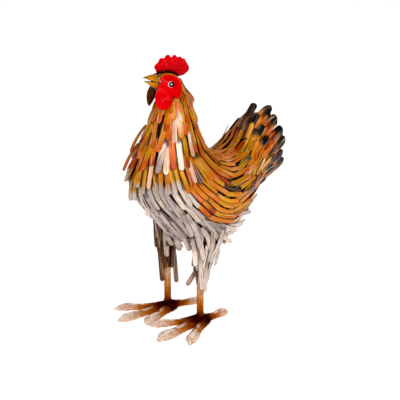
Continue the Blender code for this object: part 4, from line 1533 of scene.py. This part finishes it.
    def face_plates(self) -> None:
        """Makes both face plates: bowed sheets with a rounded edge, hammered outside."""
        bare, shares = self._disc(self.face_outline, 168, self.plate_middle)
        edge = np.sqrt(1 - (0.95 * shares**10) ** 2)
        bulge, back = self.plate_bulge * (1 - shares**2), self.form.leg_y
        for word, side in SIDES.items():
            node, spots = f"face_plate_{word}", bare.copy()
            slack = (side < 0) * (1 - soft_step(bare[..., 1], 0.402, 0.424))
            spots[..., 0] += slack * (0.0012 + 0.0056 * soft_step(bare[..., 0], back - 0.066, back - 0.042))
            middle = self._bent(node, side)(bare) - self.plate_sheet / 2
            relief = (dents(spots, self.blow_pitch, 8) - 0.4) * 0.0010 * (1 - shares**8)
            over = middle + self.plate_sheet / 2 * edge + relief + bulge
            under = middle - self.plate_sheet / 2 * edge + bulge
            skins = [np.dstack([side * x, spots[..., 0], spots[..., 1]]) for x in (over, under)]
            face = np.concatenate([np.ones(over.shape), np.zeros(over.shape)])
            rings = np.concatenate([skins[0], skins[1][::-1]])
            marks = {"face": face, "foot": np.zeros(face.shape)}
            closed_piece(f"face_wattle_{word}", rings, marks, self.red, "red_paint", [node])

    def weld(self) -> None:
        """Makes the lumpy welds round the beak and along the comb's foot, whose thickness wanders.

        The beak's is a ring of half width, half height and middle height weld_ring.
        """
        wide, high, middle = self.weld_ring
        turns, round_ = circle(72)[:, None], circle(10)
        lump = 3.0 + 0.6 * np.sin(turns * 7 + 1) + 0.5 * np.sin(turns * 13) + 0.4 * np.sin(turns * 23 + 2)
        x = (wide + lump * np.cos(round_)) * np.cos(turns)
        z = middle + (high + lump * np.cos(round_)) * np.sin(turns)
        rings = self.form.metres(x, self.beak_base - 0.8 + lump * np.sin(round_), z)
        index = np.arange(x.size).reshape(x.shape)
        ahead = np.roll(index, -1, axis=0)
        quads = np.stack([index, ahead, np.roll(ahead, -1, axis=1), np.roll(index, -1, axis=1)], -1)
        mesh_piece("beak_weld", rings, [quads.reshape(-1, 4)], {}, self.bead)
        t = np.linspace(0, 1, 40)[:, None]
        line = smooth_rows(self.comb_weld_line, t[:, 0] * (len(self.comb_weld_line) - 1))
        lump = (2.0 + 0.5 * np.sin(t * 41) + 0.35 * np.sin(t * 67 + 1)) * np.sqrt(1 - (1.96 * t - 0.98) ** 2)
        x, z = 1.5 * lump * np.cos(round_), line[:, 1:] + lump * np.sin(round_)
        closed_piece("comb_weld", self.form.metres(x, line[:, :1], z), {}, self.bead, "ochre_paint")

    def eyes(self) -> None:
        """Makes the eyes: a raised ring round a dome, turned about the way out of the plate."""
        wide, rise = np.array(self.eye_profile).T[..., None]
        turns = circle(28)
        lay = stacked(wide, wide * np.cos(turns), wide * np.sin(turns))
        for word, side in SIDES.items():
            low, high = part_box(f"eye_{word}")
            r = wide * ((high.z - low.z) / 2)
            seat = min(abs(low.x), abs(high.x))
            x = side * (seat + rise * self.form.share + self.eye_lean * r * np.cos(turns))
            y = (low.y + high.y) / 2 - self.eye_forwards + r * np.cos(turns)
            rings = np.dstack([x, y, (low.z + high.z) / 2 + r * np.sin(turns)])
            closed_piece(f"eye_dome_{word}", rings, {"lay": lay}, self.enamel, "eye_enamel", [f"eye_{word}"])

    def skull(self) -> None:
        """Makes the skull: a tipped ellipsoid, flattened where it meets the neck and the beak."""
        t = np.linspace(0.04, 1.0, 30)[:, None] * math.pi * 0.985
        turns = circle(44)
        across, along, up = (s * self.form.share for s in self.skull_semi)
        lean, stand = math.sin(self.skull_tilt), math.cos(self.skull_tilt)
        x = across * np.sin(t) * np.cos(turns)
        rise = up * np.sin(t) * np.sin(turns)
        reach = -along * np.cos(t) * np.where(np.cos(t) > 0, 0.80, 1.0) * np.ones_like(turns)
        centre, back, front = (
            self.form.flat(np.array(spot)) for spot in (self.skull_centre, self.neck_back, self.neck_front)
        )
        rings = np.array((0.0, *centre)) + x[..., None] * np.array((1.0, 0.0, 0.0))
        rings = rings + reach[..., None] * np.array((0.0, -stand, lean))
        rings = rings + rise[..., None] * np.array((0.0, lean, stand))
        slope = unit(front - back)
        neck_up = np.array((0.0, slope[1], -slope[0]))
        low = np.minimum((rings - np.array((0.0, *back))) @ neck_up - 0.0004, 0.0)
        rings = rings - low[..., None] * neck_up
        rings[..., 1] = np.maximum(rings[..., 1], self.beak_base * self.form.share + self.form.leg_y)
        brow = soft_step(-rings[..., 1], -(self.form.leg_y - 0.047), -(self.form.leg_y - 0.055))
        crest = soft_step(rings[..., 2], 0.441, 0.446) * (1 - soft_step(np.abs(rings[..., 0]), 0.002, 0.007))
        marks = {"foot": np.maximum(brow * 0.8, crest * 0.6)}
        closed_piece("head_dome", rings, marks, self.ochre, "ochre_paint", ["head"])

    def beak(self) -> None:
        """Makes both halves of the beak: half ellipses over a flat mouth, drawn to a point."""
        arc = np.linspace(0, math.pi, 15)
        round_x = np.sign(np.cos(arc)) * np.abs(np.cos(arc)) ** 0.85
        across = np.concatenate([round_x, (-0.86, -0.7, 0.0, 0.7, 0.86)])
        up = np.concatenate([np.sin(arc) ** 0.9, (0.0, 0.35, 0.5, 0.35, 0.0)])
        # Inside each half is marked 2, which the lacquer paints black: painted shade in the open mouth.
        inside = np.concatenate([np.zeros(15), np.full(5, 2.0)])
        for word, stations in (("upper", self.upper_beak), ("lower", self.lower_beak)):
            t = np.linspace(0, len(stations) - 1, 19)
            y, mouth, outside, half = smooth_rows(stations, t).T[..., None]
            tip, root = soft_step(-y, 76.0, 82.0) * 0.9, (1 - soft_step(-y, 56.5, 60.5)) * 0.9
            rings = self.form.metres(half * across, y, mouth + (outside - mouth) * up)
            marks = {"foot": np.maximum(np.maximum(tip, root), inside)}
            closed_piece(f"beak_{word}_half", rings, marks, self.ochre, "ochre_paint", [f"{word}_beak"])


@dataclass
class Feet:
    """The legs with their welded hubs, the folded toes, and the strips round the thighs.

    A pair of sizes is for the left and the right. A thigh's row is its node, how many strips it has,
    and the height and radius of its top and of its foot. A toe is its name, widths, how far its root
    stands aside, and its tips. A station of a toe is how far out it is, its width, ridge and lift.
    """

    form: BodyForm
    lacquer: Paint
    feathers: Paint
    leg_x: float = 44.0
    leg_radius: float = 0.0062
    hub_flare: float = 3.8
    hub_height: float = 13.0
    leg_ridge: float = 0.47
    seed: int = 31
    thigh_drift: tuple[Pair, Pair] = ((0.005, 0.018), (0.003, 0.001))
    thigh_rows: tuple[tuple[tuple[str, int, float, float, float, float], ...], ...] = (
        (
            ("upper", 10, 0.176, 0.0290, 0.116, 0.0190), ("upper", 7, 0.150, 0.0215, 0.094, 0.0135),
            ("lower", 6, 0.122, 0.0140, 0.070, 0.0080),
        ), (
            ("upper", 13, 0.176, 0.0235, 0.112, 0.0165), ("upper", 10, 0.152, 0.0200, 0.088, 0.0125),
            ("lower", 8, 0.122, 0.0150, 0.078, 0.0095),
        ),
    )
    toes: tuple[tuple[str, Pair, Pair, tuple[Pair, Pair]], ...] = (
        ("inner", (13.5, 22.0), (-2.5, 8.0), ((-42.0, -80.0), (-38.0, -82.0))),
        ("middle", (25.5, 23.0), (-2.0, 1.0), ((13.0, -109.0), (8.0, -109.5))),
        ("outer", (18.5, 14.8), (8.5, 3.0), ((61.0, -78.5), (56.0, -81.0))),
        ("back", (20.0, 16.0), (-2.0, 0.0), ((1.0, 66.5), (-22.0, 64.0))),
    )
    toe_stations: tuple[Row, ...] = (
        (0.00, 1.30, 15.5, 0.0), (0.10, 1.22, 14.0, 0.0), (0.24, 1.04, 11.8, 0.2), (0.40, 0.92, 10.6, 0.3),
        (0.54, 0.98, 10.8, 0.2), (0.66, 1.12, 11.8, 0.1), (0.76, 1.20, 12.6, 0.0), (0.84, 1.02, 11.2, 0.0),
        (0.90, 0.72, 8.8, 0.2), (0.95, 0.46, 6.0, 0.4), (1.00, 0.14, 1.9, 0.5),
    )
    toe_section: tuple[Pair, ...] = (
        (-0.72, 0.0), (-0.94, 0.22), (-1.0, 0.44), (-0.62, 0.72), (-0.2, 0.955), (0.0, 1.0), (0.2, 0.955),
        (0.62, 0.72), (1.0, 0.44), (0.94, 0.22), (0.72, 0.0), (0.0, 0.06),
    )

    def leg(self, word: str, side: float) -> None:
        """Makes a leg: a turned tube whose weld swells into a hub, a little uneven.

        Args:
            word: which leg.
            side: 1 for the left and -1 for the right.
        """
        turns, top = circle(32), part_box(f"leg_{word}")[1].z
        rise = self.hub_height * self.form.share
        hub = self.leg_radius + self.hub_flare * self.form.share
        z = np.concatenate([np.linspace(0, rise * 1.6, 14), np.linspace(rise * 1.75, top, 26)])[:, None]
        r = self.leg_radius + (hub - self.leg_radius) * (1 - soft_step(z, rise * 0.4, rise * 1.45))
        bead = 0.0007 * np.exp(-(((z - rise * 1.2) / (rise * 0.16)) ** 2))
        dent = 0.00016 * (np.sin(3 * turns + z * 310) + np.sin(5 * turns - z * 530 + side))
        r = r + bead * (1 + 0.5 * np.sin(7 * turns + side)) + dent * soft_step(z, 0.001, 0.004)
        x = side * self.leg_x * self.form.share + r * np.cos(turns)
        rings = stacked(x, self.form.leg_y + r * np.sin(turns), z)
        reach = np.interp(z, (0.0, 0.014, 0.026, 0.055, 0.12), (0.05, 0.16, 0.36, 0.58, 0.62))
        marks = {"lay": stacked(reach + 0 * turns, self.leg_ridge, side)}
        closed_piece(f"leg_tube_{word}", rings, marks, self.lacquer, "leg_paint", [f"leg_{word}"])

    def toes_of(self, word: str, side: float) -> None:
        """Makes one foot's toes: a roof with a crisp ridge that swells to a knuckle and a claw.

        Args:
            word: which foot.
            side: 1 for the left and -1 for the right.
        """
        start = self.leg_radius / self.form.share - 2.0
        hub = np.array((side * self.leg_x, self.form.leg_y / self.form.share, 0.0))
        wing, roof = np.array(self.toe_section).T
        t = np.linspace(0, len(self.toe_stations) - 1, 41)
        share, wide, ridge, low = smooth_rows(self.toe_stations, t).T[..., None]
        low = np.maximum(low, 0.0)
        for kind, *sizes in self.toes:
            width, base, tip = (pair[side < 0] for pair in sizes)
            target = np.array((tip[0] * side, tip[1]))
            length = np.linalg.norm(target)
            way = np.array((*(target / length), 0.0))
            across = np.array((-way[1], way[0], 0.0))
            x = wide * width / 2 * wing + base * (1 - share) ** 2
            jag = 0.5 * np.sin(share * 47.0 + width * side) * (roof < 0.5) * np.sign(wing)
            out = start + share * (length - start)
            rings = hub + way * out[..., None] + across * (x + jag)[..., None]
            wave = 0.35 * np.sin(share * 19.0 + side + width) * roof
            rise = wave * soft_step(share, 0.1, 0.3) * (1 - soft_step(share, 0.85, 1.0))
            rings[..., 2] = low + (ridge - low) * roof + rise
            marks = {"lay": stacked(share, np.clip(roof, 0, 1), width)}
            paint = self.lacquer, "leg_paint", [f"toe_{kind}_{word}"]
            closed_piece(f"{kind}_toe_{word}", rings * self.form.share, marks, *paint)

    def thigh(self, word: str, side: float, slots: dict[str, str]) -> None:
        """Makes the strips round one thigh, cream outside and brown on the inner side.

        Args:
            word: which leg.
            side: 1 for the left and -1 for the right.
            slots: the record's finish of each node.
        """
        rng = np.random.default_rng(self.seed + int(side))
        right = side < 0
        drift_x, drift_y = self.thigh_drift[right]
        brown = {BARK: 5, UMBER: 1, TAUPE: 1, BONE: 0.5} if right else {TAUPE: 3, BONE: 2, BARK: 1}
        made = {"upper": [], "lower": []}
        for kind, count, top, r_top, foot, r_foot in self.thigh_rows[right]:
            turn = (np.arange(count) + rng.uniform(0, 1)) * 2 * math.pi / count + rng.normal(0, 0.06, count)
            length = top - (foot + rng.uniform(-0.010, 0.010, count))
            half = rng.uniform(0.0038, 0.0048, count)
            along, wide = strip_stations(length, half, rng.uniform(0.9, 1.5, count))
            angle = turn[:, None] + np.radians(rng.normal(0, 12, count))[:, None] * along
            r = r_top + (r_foot - r_top) * along**0.9 + rng.normal(0, 0.0006, count)[:, None]
            z = top - along * length[:, None]
            drift = soft_step(z, 0.085, 0.170)
            x = side * (self.leg_x * self.form.share + drift_x * drift) + r * np.cos(angle)
            y = self.form.leg_y + drift_y * (0.1 + 0.9 * drift) + r * np.sin(angle)
            out = np.stack([np.cos(angle), np.sin(angle), np.full(x.shape, 0.1)], -1)
            coat = Coat.pick(rng, count, {BONE: 2, CREAM: 4, CHALK: 1})
            Coat.put(rng, coat, np.cos(turn) * side < (0.35 if right else -0.25), brown)
            crown = rng.uniform(0.0004, 0.0009, count)
            marks = coats(coat, coat, DUSK.value, PLAIN_FADE, rng.uniform(0.0, 0.3, count))
            line = np.stack([x, y, z], -1)
            made[kind].append(Strips(line, out, half[:, None] * wide, along, crown, rng.random(count), marks))
        for kind, (first, *others) in made.items():
            node = f"thigh_feathers_{kind}_{word}"
            first.join(*others).build(f"thigh_strips_{kind}_{word}", self.feathers, slots[node], [node])

    def build(self, slots: dict[str, str]) -> None:
        """Makes the legs, toes and thighs.

        Args:
            slots: the record's finish of each node.
        """
        for word, side in SIDES.items():
            self.leg(word, side)
        for word, side in SIDES.items():
            self.toes_of(word, side)
            self.thigh(word, side, slots)


@dataclass
class Studio:
    """The pale floor, the soft lights and the camera of the photograph."""

    leg_y: float
    azimuth: float = math.radians(49.0)
    distance: float = 1.9
    height: float = 0.8385
    pan: float = math.radians(-0.88)
    pitch: float = math.radians(18.145)
    lens: float = 103.83
    sensor: float = 36.0
    clip_end: float = 60.0
    aim_height: float = 0.24
    lamp_size: float = 0.8
    world_light: float = 0.42
    floor_reach: float = 14.0
    black: float = 0.010
    lamps: tuple[tuple[str, Triple, float], ...] = (
        ("key_softbox", (1.65, -0.75, 1.45), 20.0), ("fill_softbox", (-0.35, -1.9, 1.2), 7.0),
        ("back_softbox", (0.2, 1.5, 1.7), 7.0),
    )

    def _stand(self, name: str, data: bpy.types.ID, place: Triple, turn: Triple) -> bpy.types.Object:
        """Stands a camera or a lamp in the scene.

        Args:
            name: its name.
            data: what it is.
            place: where it stands.
            turn: how it is turned.

        Returns:
            The object.
        """
        made = bpy.data.objects.new(name, data)
        made.location, made.rotation_euler = place, turn
        bpy.context.scene.collection.objects.link(made)
        return made

    def camera(self) -> None:
        """Stands the camera where the photograph was taken."""
        data = bpy.data.cameras.new("photo_camera")
        data.lens, data.sensor_width, data.clip_end = self.lens, self.sensor, self.clip_end
        y = -self.distance * math.cos(self.azimuth) + self.leg_y
        place = (self.distance * math.sin(self.azimuth), y, self.height)
        turn = (math.pi / 2 - self.pitch, 0.0, self.azimuth + self.pan)
        bpy.context.scene.camera = self._stand("photo_camera", data, place, turn)

    def light(self) -> None:
        """Hangs the softboxes and sets the world's pale light."""
        for name, place, power in self.lamps:
            data = bpy.data.lights.new(name, "AREA")
            data.shape, data.size, data.energy = "DISK", self.lamp_size, power
            x, y, z = np.array((0.0, 0.0, self.aim_height)) - np.array(place)
            self._stand(name, data, place, (math.acos(-z / math.hypot(x, y, z)), 0.0, math.atan2(-x, y)))
        world = bpy.data.worlds.new("pale_room")
        world.use_nodes = True
        background = world.node_tree.nodes["Background"]
        background.inputs[0].default_value = (1.0, 1.0, 1.0, 1.0)
        background.inputs[1].default_value = self.world_light
        bpy.context.scene.world = world

    def floor(self) -> None:
        """Lays the floor."""
        r = self.floor_reach
        mesh = bpy.data.meshes.new("studio_floor")
        mesh.from_pydata([(-r, -r, 0.0), (r, -r, 0.0), (r, r, 0.0), (-r, r, 0.0)], [], [(0, 1, 2, 3)])
        tree = PaintTree("floor_paper")
        glow = {"Emission_Color": (1.0, 1.0, 1.0), "Emission_Strength": 0.62}
        cloud = tree.noise(tree.place(), 300.0)
        mesh.materials.append(tree.finish(srgb(238, 238, 238), 0.9, cloud, 0.00004, **glow))
        ground = bpy.data.objects.new("studio_floor", mesh)
        bpy.context.scene.collection.objects.link(ground)
        ground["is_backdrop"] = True

    def build(self) -> None:
        """Sets the studio up."""
        self.camera()
        self.light()
        self.floor()
        view = bpy.context.scene.view_settings
        view.view_transform, view.look, view.use_curve_mapping = "Standard", "None", True
        view.curve_mapping.black_level = (self.black, self.black, self.black)


def main() -> None:
    """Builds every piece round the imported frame."""
    logging.basicConfig(level=logging.INFO, format="%(name)s %(message)s")
    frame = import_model()
    cad_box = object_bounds()
    slots = {row["node"]: row["material_slot"] for row in frame["record"]["subparts"]}
    low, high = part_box("leg_left")
    form = BodyForm((low.y + high.y) / 2, cad_box[1][2] / HEIGHT_SHARES)
    lines = FlowLines(form)
    feathers = FeatherPaint().build()
    Plumage(form, lines, feathers).build(slots)
    TailFan(form, lines, feathers).build(slots)
    Rump(form, feathers).build(slots)
    LooseStrips(form, feathers).build()
    head = Head(form, *(finish.build() for finish in (RedEnamel(), OchreLacquer(), EyeEnamel(), WELD)))
    for make in (head.skull, head.beak, head.weld, head.comb, head.face_plates, head.eyes):
        make()
    Feet(form, LegLacquer().build(), feathers).build(slots)
    Shell(form, SHADE.build()).build()
    Studio(form.leg_y).build()


if __name__ == "__main__":
    main()
